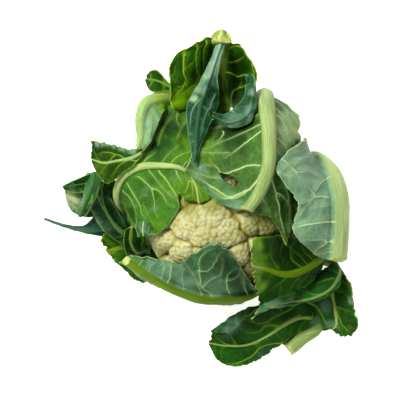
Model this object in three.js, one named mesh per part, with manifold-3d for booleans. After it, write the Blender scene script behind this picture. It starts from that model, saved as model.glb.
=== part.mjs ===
// A trimmed cauliflower head in its wrapper leaves, standing on the knife cut of its stalk.
// Millimetres, +Z up. The origin is the middle of the knife cut, which is the plane z = 0.
import * as THREE from 'three';
import { ConvexHull } from 'three/addons/math/ConvexHull.js';
import Module from 'manifold-3d';

const wasm = await Module();
wasm.setup();

// Plan points are set out on a 400 mm square sheet: x from its left edge, y from its back edge,
// z above the knife cut. The stalk's axis stands at this point of the sheet.
const axisX = 225;
const axisY = 205;

const bladeThickness = 1.1;
const marginTooth = 3;
const toothPitch = 2.4;
const toothShare = 0.3;
const waveOnset = 1.2;
const waveShift = 0.37;
const ribShare = 0.8;
const ribShoulder = 0.6;
const ribInset = 0.2;
const crossSteps = 10;
const tearFrom = 60;
const tearTo = 200;
const stalkRadius = 21;
const stalkNeck = 22.5;
const stalkEdge = 1;
const stalkWaist = 8;
const stalkShoulder = 18;
const stalkTop = 34;
const stalkSides = 28;
const joint = 0.3;

// The head of florets: an ellipsoid above its widest level, drawn in to the stalk below it.
const curdX = 221;
const curdY = 213;
const curdRadius = 78;
const curdLevel = 58;
const curdRise = 66;
const granulesAbove = 470;
const granulesBelow = 90;
const granuleHeight = 3.4;
const lobeDepth = 12;
const lobeSpread = 1.15;
const lobeOnset = 4;
const headUnderside = -0.12;
const undersideSlope = 1.15;
const undersideCurve = 1.6;
const undersideTaper = 0.88;
const neckFrom = 0.87;

// Lobes of the head as they lie in plan: x, y, reach.
const lobes = [
  [186, 222, 25], [212, 214, 26], [204, 236, 23], [229, 233, 21], [160, 243, 14], [180, 255, 17],
  [199, 258, 13], [251, 221, 17], [272, 226, 15], [262, 206, 15], [240, 257, 15], [253, 276, 13],
  [238, 198, 18], [176, 200, 18], [198, 190, 18], [222, 180, 20], [256, 182, 20], [158, 216, 15],
  [154, 190, 20], [180, 166, 20], [206, 150, 20], [238, 150, 20], [270, 162, 20], [288, 200, 16],
  [284, 246, 17], [262, 252, 13], [224, 262, 15], [222, 284, 16], [196, 281, 16], [168, 272, 15],
];

const colours = {
  stalk: 0xc9cf9a,
  curd: 0xdcd2a2,
  pale: 0x8fb58a,
  teal: 0x4f7f62,
  mid: 0x5f9a3a,
  dark: 0x2f6b2a,
};

function place(p) {
  return new THREE.Vector3(p[0] - axisX, axisY - p[1], p[2]);
}

function between(values, u) {
  const i = Math.min(Math.floor(u), values.length - 2);
  const f = u - i;
  const s = f * f * (3 - 2 * f);
  return values[i] * (1 - s) + values[i + 1] * s;
}

// Points of one row of a leaf, from margin to margin: the cross curve through the drawn lines is measured
// out from the midrib, so that the columns beside the rib keep to its width.
function rowAcross(curves, ribLine, u, ribHalf, bladeColumns, tooth, rowIndex) {
  const last = curves[0].points.length - 1;
  const row = new THREE.CatmullRomCurve3(curves.map((c) => c.getPoint(u / last)), false, 'centripetal');
  const steps = (curves.length - 1) * crossSteps;
  const line = row.getPoints(steps);
  const lengths = [0];
  for (let i = 1; i <= steps; i++) lengths.push(lengths[i - 1] + line[i].distanceTo(line[i - 1]));
  const middle = lengths[ribLine * crossSteps];
  const at = (s) => {
    let i = 1;
    while (i < steps && lengths[i] < s) i++;
    const f = (s - lengths[i - 1]) / Math.max(lengths[i] - lengths[i - 1], 1e-6);
    return line[i - 1].clone().lerp(line[i], f);
  };
  const out = [];
  for (const side of [-1, 1]) {
    const reach = side < 0 ? middle : lengths[steps] - middle;
    const half = Math.min(ribHalf, reach * ribShare);
    const part = [];
    for (const f of [ribShoulder, 1]) part.push([half * f, f, 0]);
    const swing = (1 + Math.sin(toothPitch * rowIndex + side)) / 2;
    const notch = Math.min(tooth * swing, (reach - half) * toothShare);
    for (let j = 1; j <= bladeColumns; j++) {
      const out = j / bladeColumns;
      part.push([half + (reach - half) * out - notch * out ** 3, 1, out]);
    }
    const points = part.map(([s, rib, blade]) => ({ p: at(middle + side * s), rib, blade, side }));
    if (side < 0) out.push(...points.reverse(), { p: at(middle), rib: 0, blade: 0, side: 0 });
    else out.push(...points);
  }
  return out;
}

// One leaf surface made solid: lines run from the base of the leaf to its tip and lie side by side from one
// margin to the other, one of them the midrib. The rib stands out on the back of the leaf (back = 1 up).
// Where the rib was cut through, slant is how far the upper edge of the cut lies behind the lower one.
function sheet(s) {
  const curves = s.lines.map((line) => new THREE.CatmullRomCurve3(line.map(place), false, 'centripetal'));
  const stations = s.lines[0].length - 1;
  const rows = s.rows ?? stations * 2;
  const grid = [];
  for (let i = 0; i <= rows; i++) {
    const u = (stations * i) / rows;
    grid.push(rowAcross(curves, s.rib, u, between(s.half, u), s.columns ?? 3, s.wave ? marginTooth : 0, i));
  }
  const columns = grid[0].length;
  const normalAt = (i, j) => {
    const along = grid[Math.min(i + 1, rows)][j].p.clone().sub(grid[Math.max(i - 1, 0)][j].p);
    const across = grid[i][Math.min(j + 1, columns - 1)].p.clone().sub(grid[i][Math.max(j - 1, 0)].p);
    return across.cross(along).normalize();
  };
  const waved = grid.map((row, i) => row.map((g, j) => {
    const u = i / rows;
    const [height, count, phase] = s.wave ?? [0, 1, 0];
    const fade = Math.min(1, Math.max(0, (u * stations - (s.calm ?? 0)) * waveOnset));
    const swing = Math.sin(2 * Math.PI * (count * u + phase + (g.side > 0 ? waveShift : 0)));
    return g.p.clone().addScaledVector(normalAt(i, j), height * fade * swing * g.blade * g.blade);
  }));
  waved.forEach((row, i) => row.forEach((p, j) => { grid[i][j].p = p; }));
  const top = [];
  const bottom = [];
  for (let i = 0; i <= rows; i++) {
    const depth = between(s.depth, (stations * i) / rows);
    for (let j = 0; j < columns; j++) {
      const g = grid[i][j];
      const n = normalAt(i, j);
      const round = Math.sqrt(Math.max(0, 1 - g.rib * g.rib));
      const bulge = depth * round;
      const up = bladeThickness / 2 + (s.back > 0 ? bulge : bulge * ribInset);
      const down = bladeThickness / 2 + (s.back > 0 ? bulge * ribInset : bulge);
      const slant = i === rows ? (s.slant ?? 0) * round : 0;
      const tipward = grid[i][j].p.clone().sub(grid[Math.max(i - 1, 0)][j].p).normalize();
      top.push(g.p.clone().addScaledVector(n, up).addScaledVector(tipward, -slant));
      bottom.push(g.p.clone().addScaledVector(n, -down));
    }
  }
  const points = [...top, ...bottom];
  const under = top.length;
  const faces = [];
  const quad = (a, b, c, d) => faces.push([a, b, c], [a, c, d]);
  for (let i = 0; i < rows; i++) {
    for (let j = 0; j < columns - 1; j++) {
      const a = i * columns + j;
      quad(a, a + 1, a + columns + 1, a + columns);
      faces.push([under + a, under + a + columns + 1, under + a + 1]);
      faces.push([under + a, under + a + columns, under + a + columns + 1]);
    }
  }
  const rim = [];
  for (let j = 0; j < columns - 1; j++) rim.push([j, j + 1]);
  for (let i = 0; i < rows; i++) rim.push([i * columns + columns - 1, (i + 1) * columns + columns - 1]);
  for (let j = columns - 1; j > 0; j--) rim.push([rows * columns + j, rows * columns + j - 1]);
  for (let i = rows; i > 0; i--) rim.push([i * columns, (i - 1) * columns]);
  for (const [a, b] of rim) quad(b, a, under + a, under + b);
  return solidOf(points, faces);
}

function solidOf(points, faces) {
  const vertProperties = new Float32Array(points.flatMap((p) => [p.x, p.y, p.z]));
  const triVerts = new Uint32Array(faces.flat());
  return new wasm.Manifold(new wasm.Mesh({ numProp: 3, vertProperties, triVerts }));
}

function toGeometry(solid) {
  const m = solid.getMesh();
  const geometry = new THREE.BufferGeometry();
  const flat = new Float32Array((m.vertProperties.length / m.numProp) * 3);
  for (let i = 0; i < flat.length / 3; i++) {
    for (let k = 0; k < 3; k++) flat[i * 3 + k] = m.vertProperties[i * m.numProp + k];
  }
  geometry.setAttribute('position', new THREE.BufferAttribute(flat, 3));
  geometry.setIndex(new THREE.BufferAttribute(new Uint32Array(m.triVerts), 1));
  geometry.computeVertexNormals();
  return geometry;
}

// Height of the head's surface at a direction d from its middle, lobes and crevices included.
function curdPoint(d, raise) {
  const below = d.z < 0;
  const x = d.x * curdRadius;
  const y = d.y * curdRadius;
  if (below) {
    const drop = -d.z;
    const flat = Math.hypot(d.x, d.y);
    const low = curdLevel - (curdLevel - stalkTop - joint) * Math.min(1, drop * undersideSlope);
    const inward = drop > neckFrom ? (flat / Math.sqrt(1 - neckFrom * neckFrom)) * stalkNeck : null;
    const radius = inward ?? curdRadius * (1 - drop ** undersideCurve * undersideTaper);
    const unit = flat > 1e-6 ? 1 / flat : 0;
    return new THREE.Vector3(curdX - axisX + d.x * unit * radius, axisY - curdY + d.y * unit * radius, low);
  }
  let nearest = 1;
  for (const [lx, ly, reach] of lobes) {
    const px = curdX + x;
    const py = curdY - y;
    nearest = Math.min(nearest, Math.hypot(px - lx, py - ly) / (reach * lobeSpread));
  }
  const dip = lobeDepth * (1 - Math.sqrt(1 - nearest * nearest));
  const edge = Math.min(1, d.z * lobeOnset);
  const r = 1 - (dip * edge + (granuleHeight - raise)) / curdRadius;
  return new THREE.Vector3(curdX - axisX + x * r, axisY - curdY + y * r, curdLevel + d.z * curdRise * r);
}

// The head: granules spread evenly over it, each a low many-sided knob between its neighbours.
function curd() {
  const golden = Math.PI * (3 - Math.sqrt(5));
  const centres = [];
  for (let i = 0; i < granulesAbove + granulesBelow; i++) {
    const z = i < granulesAbove
      ? 1 - ((1 - headUnderside) * (i + 0.5)) / granulesAbove
      : headUnderside - ((1 + headUnderside) * (i - granulesAbove + 0.5)) / granulesBelow;
    const r = Math.sqrt(1 - z * z);
    centres.push(new THREE.Vector3(r * Math.cos(i * golden), r * Math.sin(i * golden), z));
  }
  const hull = new ConvexHull().setFromPoints(centres);
  const index = new Map(centres.map((c, i) => [c, i]));
  const points = centres.map((c) => curdPoint(c, granuleHeight));
  const corner = new Map();
  const faces = [];
  for (const face of hull.faces) {
    const middle = new THREE.Vector3();
    let e = face.edge;
    do {
      middle.add(e.head().point);
      e = e.next;
    } while (e !== face.edge);
    corner.set(face, points.length);
    points.push(curdPoint(middle.normalize(), 0));
  }
  for (const face of hull.faces) {
    let e = face.edge;
    do {
      faces.push([index.get(e.tail().point), corner.get(e.twin.face), corner.get(face)]);
      e = e.next;
    } while (e !== face.edge);
  }
  return solidOf(points, faces);
}

// A tear through a leaf, as an upright prism over its outline in plan.
function prism(outline) {
  const n = outline.length;
  const points = [tearFrom, tearTo].flatMap((z) => outline.map(([x, y]) => place([x, y, z])));
  const faces = [];
  for (let i = 0; i < n; i++) {
    const j = (i + 1) % n;
    faces.push([i, i + n, j], [j, i + n, j + n]);
    if (i > 1) faces.push([0, i - 1, i], [n, n + i, n + i - 1]);
  }
  return solidOf(points, faces);
}

function stalk() {
  const profile = [
    [0, 0], [stalkRadius - stalkEdge, 0], [stalkRadius, stalkEdge], [stalkRadius, stalkWaist],
    [stalkNeck, stalkShoulder], [stalkNeck, stalkTop], [0, stalkTop],
  ];
  const outline = profile.map(([r, z]) => new THREE.Vector2(r, z));
  return new THREE.LatheGeometry(outline, stalkSides).rotateX(Math.PI / 2);
}

const leaves = {
  leaf_over_top: {
    colour: colours.pale,
    sheets: [{
      rib: 2, back: 1, calm: 4, wave: [2, 5, 0.1], slant: 5,
      half: [6, 7, 8, 8.5, 8, 7.5, 7, 6.5, 6.5],
      depth: [4, 5, 6, 6.5, 6.5, 6, 6, 6, 7],
      lines: [
        [[243, 187, 28], [268, 162, 33], [292, 132, 54], [296, 114, 76], [300, 123, 96],
         [300, 146, 100], [299, 182, 107], [297, 212, 108], [286, 246, 105]],
        [[240, 184, 28], [256, 152, 30], [274, 115, 48], [281, 102, 78], [284, 113, 108],
         [286, 142, 119], [284, 172, 124], [278, 198, 123], [270, 218, 120]],
        [[235, 181, 28], [246, 150, 30], [258, 112, 46], [264, 95, 78], [266, 108, 116],
         [268, 138, 132], [267, 167, 137], [259, 191, 136], [245, 211, 130]],
        [[232, 180, 28], [240, 149, 30], [253, 113, 45], [257, 99, 74], [253, 114, 104],
         [234, 134, 120], [226, 160, 127], [220, 183, 128], [221, 204, 128]],
        [[229, 180, 28], [236, 148, 30], [249, 115, 45], [251, 103, 70], [243, 119, 99],
         [207, 122, 111], [195, 144, 119], [188, 161, 121], [184, 171, 121]],
      ],
    }],
    slit: [[219, 173], [229, 175], [237, 181], [240, 188], [231, 185], [223, 180]],
  },
  leaf_right: {
    colour: colours.pale,
    sheets: [{
      rib: 2, back: 1, calm: 4, wave: [1.8, 4, 0.6], slant: 6,
      half: [6, 8, 10, 12, 13, 13, 13, 12, 11],
      depth: [3, 5, 7, 8, 8, 8, 8, 8, 8],
      lines: [
        [[251, 195, 12], [288, 184, 14], [316, 176, 20], [332, 172, 30], [342, 181, 38],
         [346, 199, 38], [346, 223, 41], [345, 244, 50], [342, 261, 66]],
        [[249, 192, 12], [286, 179, 14], [312, 168, 24], [329, 165, 44], [342, 177, 62],
         [348, 197, 66], [348, 223, 68], [346, 245, 70], [341, 262, 75]],
        [[247, 190, 12], [280, 173, 15], [304, 162, 30], [317, 160, 58], [331, 174, 81],
         [338, 195, 91], [339, 222, 93], [338, 245, 91], [337, 262, 88]],
        [[245, 188, 12], [276, 168, 15], [300, 154, 36], [310, 151, 76], [313, 170, 103],
         [318, 195, 111], [319, 221, 112], [317, 243, 107], [319, 257, 99]],
        [[243, 186, 12], [273, 165, 15], [298, 151, 40], [307, 146, 95], [294, 168, 127],
         [307, 200, 119], [305, 223, 117], [305, 241, 111], [315, 255, 101]],
        [[241, 185, 12], [271, 163, 15], [297, 149, 43], [304, 139, 110], [275, 169, 137],
         [297, 206, 123], [291, 228, 117], [297, 240, 111], [313, 254, 102]],
      ],
    }],
  },
  leaf_front: {
    colour: colours.teal,
    sheets: [{
      rib: 2, back: 1, calm: 4, wave: [1.8, 5, 0.2], slant: 5,
      half: [6, 7, 7.5, 8, 8, 8, 7.5, 7, 6, 5.5],
      depth: [3, 4, 5, 6, 6.5, 6.5, 6, 5.5, 5, 5],
      lines: [
        [[234, 228, 27], [245, 267, 26], [249, 292, 30], [241, 302, 36], [221, 303, 36],
         [200, 301, 39], [175, 294, 44], [149, 282, 53], [131, 270, 64], [120, 262, 79]],
        [[237, 227, 27], [249, 265, 27], [254, 290, 34], [245, 302, 46], [224, 305, 52],
         [203, 304, 55], [178, 296, 60], [152, 284, 66], [133, 271, 74], [121, 262, 82]],
        [[240, 225, 27], [256, 262, 27], [261, 284, 40], [248, 294, 59], [225, 297, 71],
         [203, 297, 76], [180, 290, 80], [155, 278, 83], [137, 266, 85], [125, 258, 87]],
        [[242, 224, 27], [259, 260, 28], [265, 282, 44], [251, 290, 70], [229, 289, 87],
         [208, 279, 98], [186, 279, 95], [163, 272, 92], [145, 263, 90], [127, 257, 89]],
        [[244, 222, 27], [262, 258, 28], [268, 280, 48], [253, 288, 78], [235, 278, 98],
         [213, 259, 117], [192, 265, 108], [172, 267, 98], [152, 260, 92], [129, 256, 90]],
        [[245, 221, 27], [264, 256, 29], [270, 278, 52], [255, 286, 85], [240, 265, 109],
         [218, 242, 127], [195, 253, 118], [181, 262, 104], [158, 258, 94], [131, 255, 91]],
      ],
    }],
  },
  leaf_right_inner: {
    colour: colours.dark,
    sheets: [{
      rib: 2, back: -1, calm: 4, wave: [1.6, 4, 0.4],
      half: [5, 6, 6.5, 6.5, 6, 5, 4, 3, 2],
      depth: [4, 4, 4.5, 5, 4.5, 4, 3, 2, 1],
      lines: [
        [[246, 216, 27], [278, 232, 32], [308, 252, 42], [320, 266, 54], [311, 281, 67],
         [298, 291, 74], [284, 297, 79], [271, 302, 84], [256, 306, 90]],
        [[248, 213, 27], [281, 227, 33], [313, 246, 44], [324, 259, 58], [314, 271, 71],
         [299, 281, 79], [283, 286, 84], [269, 287, 90], [253, 285, 97]],
        [[249, 210, 27], [283, 223, 34], [316, 241, 48], [327, 252, 62], [318, 261, 75],
         [301, 271, 83], [284, 274, 88], [267, 269, 97], [251, 265, 106]],
        [[250, 207, 27], [287, 215, 35], [321, 229, 52], [328, 240, 67], [317, 249, 80],
         [301, 253, 88], [284, 254, 93], [267, 252, 106], [249, 250, 115]],
        [[250, 204, 27], [290, 207, 37], [324, 215, 57], [328, 226, 74], [316, 236, 85],
         [300, 235, 95], [285, 235, 101], [269, 234, 113], [252, 237, 119]],
      ],
    }],
  },
  leaf_right_under: {
    colour: colours.dark,
    sheets: [{
      rib: 1, back: -1, calm: 4, wave: [1.6, 4, 0.1],
      half: [4, 5, 5, 3, 1.8, 1.5, 1.3, 1.2, 1],
      depth: [3, 4, 4, 2.5, 1.5, 1.2, 1, 0.8, 0.6],
      lines: [
        [[247, 217, 13], [283, 239, 14], [319, 264, 22], [342, 273, 46], [335, 291, 56],
         [315, 301, 59], [290, 305, 60], [269, 309, 58], [250, 318, 54]],
        [[248, 214, 13], [285, 235, 14], [322, 258, 24], [340, 269, 50], [332, 288, 60],
         [314, 298, 63], [290, 302, 64], [270, 306, 63], [254, 315, 58]],
        [[249, 212, 13], [286, 232, 15], [324, 254, 26], [338, 265, 52], [328, 280, 59],
         [311, 289, 62], [290, 293, 65], [273, 298, 66], [259, 306, 63]],
        [[250, 210, 13], [287, 229, 16], [326, 250, 28], [335, 259, 51], [321, 270, 56],
         [306, 279, 59], [290, 284, 63], [276, 290, 66], [261, 300, 66]],
      ],
    }],
  },
  leaf_front_right: {
    colour: colours.dark,
    sheets: [{
      rib: 1, back: 1, calm: 9, columns: 1, slant: 6,
      half: [5, 6, 7, 8, 8, 7.5, 7.5],
      depth: [3, 4, 5, 7, 8, 9, 9],
      lines: [
        [[237, 227, 10], [261, 269, 11], [286, 307, 15], [312, 324, 16],
         [314, 336, 17], [304, 347, 10], [293, 357, 7]],
        [[241, 225, 10], [273, 260, 10], [301, 296, 15], [320, 317, 22],
         [315, 329, 24], [301, 340, 15], [288, 351, 11]],
        [[244, 222, 10], [283, 250, 13], [315, 286, 19], [328, 312, 22],
         [318, 322, 28], [298, 333, 17], [283, 345, 13]],
      ],
    }, {
      rib: 2, back: -1, calm: 0, wave: [1.6, 3, 0.3], columns: 3,
      half: [2.5, 2, 1.8, 1.6, 1.4, 1.2, 1],
      depth: [2, 1.8, 1.5, 1.2, 1, 0.8, 0.6],
      lines: [
        [[318, 331, 24], [300, 335, 22], [283, 345, 19], [268, 356, 14],
         [250, 366, 9], [230, 369, 5], [217, 361, 6]],
        [[319, 325, 26], [300, 327, 25], [283, 335, 25], [266, 345, 23],
         [246, 354, 13], [226, 357, 8], [211, 352, 9]],
        [[320, 319, 28], [300, 319, 29], [284, 327, 28], [268, 337, 26],
         [248, 346, 16], [226, 347, 12], [208, 344, 12]],
        [[320, 309, 34], [300, 307, 37], [281, 310, 37], [262, 316, 36],
         [243, 324, 29], [226, 330, 22], [210, 338, 15]],
        [[320, 300, 38], [300, 297, 42], [280, 298, 43], [260, 303, 44],
         [240, 312, 38], [224, 322, 32], [211, 332, 20]],
        [[319, 301, 40], [300, 299, 44], [279, 301, 46], [260, 308, 48],
         [243, 322, 39], [232, 334, 31], [217, 333, 23]],
      ],
    }, {
      rib: 2, back: -1, calm: 0, wave: [1.6, 2, 0.1], columns: 2,
      half: [1.6, 1.8, 1.8, 1.6, 1.2],
      depth: [1, 1.2, 1.2, 1, 0.8],
      lines: [
        [[343, 268, 37], [351, 283, 46], [357, 306, 48], [360, 325, 43], [353, 337, 35]],
        [[336, 270, 34], [343, 288, 42], [347, 307, 41], [348, 325, 36], [342, 338, 31]],
        [[328, 272, 38], [333, 293, 39], [336, 311, 36], [337, 326, 32], [331, 332, 28]],
        [[319, 276, 37], [322, 298, 37], [325, 314, 33], [326, 326, 29], [320, 332, 26]],
        [[309, 284, 36], [309, 303, 35], [312, 317, 31], [312, 327, 26], [307, 331, 22]],
      ],
    }],
  },
  leaf_over_left: {
    colour: colours.mid,
    sheets: [{
      rib: 2, back: 1, calm: 4, wave: [1.4, 4, 0.8],
      half: [5, 6, 7, 6.5, 5.5, 4.5, 4, 3.5, 2.6, 1.6, 1.2, 1],
      depth: [3, 4, 5, 4.5, 4, 3.5, 3, 2.5, 1.8, 1, 0.8, 0.5],
      lines: [
        [[201, 206, 27], [168, 212, 28], [134, 207, 36], [117, 196, 56], [118, 180, 78], [131, 157, 90],
         [147, 134, 89], [168, 116, 83], [191, 107, 86], [203, 143, 107], [211, 180, 122], [213, 197, 124]],
        [[200, 209, 27], [168, 215, 28], [134, 211, 36], [118, 200, 56], [118, 184, 80], [127, 166, 93],
         [143, 151, 97], [164, 141, 98], [184, 140, 102], [198, 163, 114], [204, 184, 121], [206, 202, 123]],
        [[200, 212, 27], [168, 219, 28], [136, 215, 36], [121, 205, 57], [118, 190, 82], [125, 176, 95],
         [142, 167, 102], [163, 166, 109], [180, 168, 113], [190, 175, 116], [196, 187, 120], [199, 203, 122]],
        [[200, 215, 27], [169, 223, 28], [140, 220, 36], [126, 212, 57], [125, 199, 83], [135, 192, 96],
         [149, 191, 104], [164, 190, 110], [176, 188, 114], [184, 186, 117], [188, 192, 119], [191, 202, 121]],
        [[201, 217, 27], [170, 226, 28], [144, 223, 37], [131, 218, 58], [130, 224, 80], [143, 234, 88],
         [157, 235, 97], [173, 219, 112], [179, 206, 117], [179, 195, 118], [181, 197, 119], [182, 200, 120]],
      ],
    }, {
      rib: 1, back: 1, calm: 0, columns: 1, rows: 4,
      half: [1, 1, 1], depth: [0.3, 0.3, 0.3],
      lines: [
        [[137, 219, 88], [136, 228, 90], [139, 237, 87]],
        [[144, 220, 92], [143, 229, 93], [144, 238, 89]],
        [[151, 222, 95], [150, 230, 95], [149, 237, 91]],
      ],
    }],
  },
  leaf_upper_left: {
    colour: colours.pale,
    sheets: [{
      rib: 2, back: 1, calm: 9,
      half: [5, 6, 7, 8, 8.5, 8, 7, 5, 3],
      depth: [3, 4, 5, 6, 6, 5.5, 4.5, 3, 1.5],
      lines: [
        [[214, 184, 12], [210, 152, 17], [205, 123, 34], [184, 114, 68], [167, 110, 88],
         [163, 115, 96], [158, 127, 101], [151, 143, 105], [142, 154, 108]],
        [[212, 185, 12], [204, 151, 14], [196, 117, 33], [180, 105, 70], [164, 105, 90],
         [153, 110, 96], [149, 124, 101], [147, 139, 105], [141, 153, 107]],
        [[211, 186, 12], [201, 151, 14], [191, 115, 34], [178, 99, 69], [160, 98, 85],
         [146, 105, 90], [141, 121, 95], [141, 138, 101], [138, 149, 104]],
        [[209, 187, 12], [193, 154, 17], [180, 114, 38], [172, 95, 64], [157, 95, 79],
         [142, 102, 82], [136, 119, 88], [137, 138, 97], [136, 146, 102]],
      ],
    }, {
      rib: 1, back: -1, calm: 0, wave: [0.8, 2, 0], columns: 2, rows: 8,
      half: [2, 2, 1.5, 1.5, 1], depth: [1, 1, 0.8, 0.6, 0.5],
      lines: [
        [[142, 157, 108], [134, 167, 106], [122, 175, 102], [109, 184, 97], [97, 174, 93]],
        [[142, 153, 108], [132, 158, 105], [118, 161, 101], [104, 163, 96], [91, 159, 92]],
        [[142, 148, 107], [131, 149, 105], [118, 145, 101], [104, 142, 97], [92, 139, 94]],
      ],
    }],
  },
  leaf_back: {
    colour: colours.dark,
    sheets: [{
      rib: 3, back: -1, calm: 3, wave: [2.2, 3, 0.2],
      half: [6, 7, 8, 9, 10, 10, 10],
      depth: [4, 5, 7, 9, 10, 11, 11],
      lines: [
        [[216, 182, 11], [213, 145, 8], [207, 104, 40], [172, 109, 97],
         [168, 86, 98], [171, 62, 101], [207, 36, 107]],
        [[218, 181, 11], [215, 145, 7], [211, 104, 34], [191, 107, 88],
         [184, 80, 92], [187, 56, 99], [212, 38, 107]],
        [[220, 181, 11], [218, 145, 6], [216, 101, 28], [207, 97, 62],
         [203, 68, 84], [204, 50, 98], [216, 40, 108]],
        [[222, 181, 11], [222, 145, 6], [221, 98, 22], [221, 78, 44],
         [221, 57, 72], [221, 45, 96], [221, 40, 110]],
        [[224, 181, 11], [226, 145, 6], [226, 103, 26], [230, 98, 56],
         [236, 68, 80], [236, 50, 98], [227, 41, 108]],
        [[226, 181, 11], [228, 145, 7], [229, 106, 34], [239, 109, 80],
         [248, 78, 95], [247, 57, 103], [233, 42, 107]],
        [[228, 182, 11], [231, 145, 8], [232, 106, 40], [250, 106, 105],
         [255, 86, 107], [255, 68, 107], [240, 44, 107]],
      ],
    }, {
      rib: 1, back: 1, calm: 9, columns: 1,
      half: [2, 2, 2, 2, 1.5, 1], depth: [0.8, 0.8, 0.8, 0.8, 0.6, 0.4],
      lines: [
        [[254, 75, 103], [256, 92, 112], [255, 110, 118],
         [250, 123, 122], [230, 129, 125], [213, 120, 127]],
        [[250, 75, 99], [252, 91, 112], [250, 108, 120], [244, 117, 124], [228, 123, 127], [212, 117, 129]],
        [[245, 75, 95], [245, 89, 107], [240, 102, 114], [232, 110, 119], [223, 115, 123], [212, 112, 127]],
      ],
    }, {
      rib: 1, back: 1, calm: 9, columns: 2, rows: 12,
      half: [2, 2, 2, 2, 1.5, 1], depth: [1.5, 1.5, 1.2, 1, 0.8, 0.5],
      lines: [
        [[226, 44, 103], [218, 76, 108], [219, 104, 116],
         [209, 128, 124], [201, 147, 127], [195, 164, 129]],
        [[221, 43, 104], [209, 79, 112], [201, 105, 120],
         [197, 128, 126], [196, 148, 128], [194, 165, 129]],
        [[216, 44, 103], [202, 78, 108], [186, 106, 115],
         [187, 126, 122], [190, 146, 126], [193, 164, 129]],
      ],
    }, {
      rib: 1, back: -1, calm: 9, columns: 1, rows: 8,
      half: [1.5, 1.5, 1.5, 1.5, 1], depth: [1, 1, 1, 0.6, 0.5],
      lines: [
        [[184, 93, 92], [172, 91, 94], [163, 92, 92], [152, 92, 90], [147, 85, 88]],
        [[184, 90, 93], [172, 88, 96], [160, 82, 94], [151, 80, 91], [145, 79, 88]],
        [[185, 87, 93], [173, 86, 96], [165, 78, 96], [158, 70, 96], [148, 72, 91]],
      ],
    }],
  },
  leaf_far_left: {
    colour: colours.teal,
    sheets: [{
      rib: 1, back: 1, calm: 9, columns: 1,
      half: [5, 8, 10, 9, 7, 5, 3], depth: [3, 6, 8, 7, 5, 3, 1.5],
      lines: [
        [[200, 203, 11], [160, 202, 15], [121, 210, 25], [97, 217, 42],
         [84, 217, 56], [72, 212, 63], [66, 201, 67]],
        [[201, 199, 11], [160, 192, 13], [119, 197, 22], [94, 203, 48],
         [80, 203, 62], [70, 197, 68], [64, 192, 71]],
        [[202, 195, 11], [160, 182, 16], [118, 183, 28], [92, 191, 52],
         [80, 190, 67], [71, 189, 72], [62, 187, 73]],
      ],
    }, {
      rib: 1, back: 1, calm: 9, columns: 2, rows: 8,
      half: [1.5, 2, 2, 1.5], depth: [0.8, 1, 1, 0.6],
      lines: [
        [[105, 175, 84], [101, 187, 86], [94, 204, 83], [85, 218, 74]],
        [[95, 172, 85], [92, 187, 89], [86, 203, 84], [79, 217, 70]],
        [[86, 173, 80], [84, 188, 80], [80, 203, 75], [74, 214, 65]],
      ],
    }, {
      rib: 1, back: -1, calm: 9, columns: 1, rows: 4,
      half: [1, 1, 1], depth: [0.4, 0.4, 0.4],
      lines: [
        [[88, 190, 78], [75, 190, 75], [62, 188, 73]],
        [[89, 183, 80], [75, 185, 77], [62, 187, 74]],
        [[90, 173, 82], [76, 179, 79], [62, 186, 75]],
      ],
    }],
  },
  leaf_wisp: {
    colour: colours.teal,
    sheets: [{
      rib: 1, back: 1, calm: 9, columns: 1,
      half: [4, 6, 8, 6, 3, 1.5, 0.8], depth: [2.5, 4.5, 5, 4, 2, 0.8, 0.4],
      lines: [
        [[201, 214, 8], [165, 219, 8], [128, 233, 9], [103, 237, 20],
         [86, 234, 28], [66, 228.5, 36], [42, 219.5, 46]],
        [[201, 210, 8], [163, 214, 8], [125, 225, 10], [100, 226, 23],
         [86, 230, 30], [66, 226.5, 37], [43, 218.6, 46]],
        [[201, 206, 8], [162, 209, 8], [122, 217, 11], [98, 213, 27],
         [84, 225, 32], [66, 224.5, 38], [43, 217.6, 46]],
      ],
    }],
  },
  leaf_left_inner: {
    colour: colours.teal,
    sheets: [{
      rib: 1, back: 1, calm: 9, columns: 2,
      half: [4, 6, 6, 3, 1.8, 1.5, 1.2], depth: [3, 4, 5, 3, 1.2, 1, 0.8],
      lines: [
        [[205, 221, 19], [174, 241, 20], [134, 251, 35], [114, 240, 48],
         [101, 229, 56], [92, 212, 66], [90, 190, 75]],
        [[203, 218, 19], [170, 233, 18], [141, 240, 30], [123, 233, 47],
         [110, 219, 58], [103, 203, 68], [100, 181, 77]],
        [[201, 215, 19], [166, 226, 20], [146, 229, 29], [131, 225, 46],
         [119, 212, 48], [113, 196, 56], [112, 180, 70]],
      ],
    }],
  },
  leaf_left_low: {
    colour: colours.dark,
    sheets: [{
      rib: 2, back: -1, calm: 3, wave: [1.2, 3, 0.5], columns: 2,
      half: [5, 6, 7, 5, 2.5, 2], depth: [3, 4, 6, 5, 2, 1],
      lines: [
        [[212, 225, 10], [187, 244, 6.4], [160, 268, 10], [142, 285, 22], [125, 272, 33], [112, 258, 44]],
        [[210, 224, 10], [184, 241, 6.4], [155, 258, 10], [137, 265, 24], [121, 261, 40], [109, 256, 45]],
        [[208, 222, 10], [181, 237, 6.4], [151, 247, 10], [131, 246, 25], [117, 249, 37], [106, 252, 46]],
        [[206, 220, 10], [179, 234, 6.4], [148, 240, 10], [125, 238, 27], [111, 240, 37], [102, 247, 47]],
        [[205, 218, 10], [177, 231, 6.4], [146, 234, 10], [120, 231, 28], [105, 232, 38], [99, 241, 47]],
      ],
    }],
  },
  leaf_left_curd: {
    colour: colours.dark,
    sheets: [{
      rib: 1, back: -1, calm: 9, columns: 2,
      half: [4, 4, 4, 2, 1.4, 1.2], depth: [2.5, 2.5, 2.5, 1.4, 1, 0.8],
      lines: [
        [[206, 221, 30], [175, 239, 31], [142, 258, 40], [127, 256, 56], [123, 241, 66], [125, 228, 70]],
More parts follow.
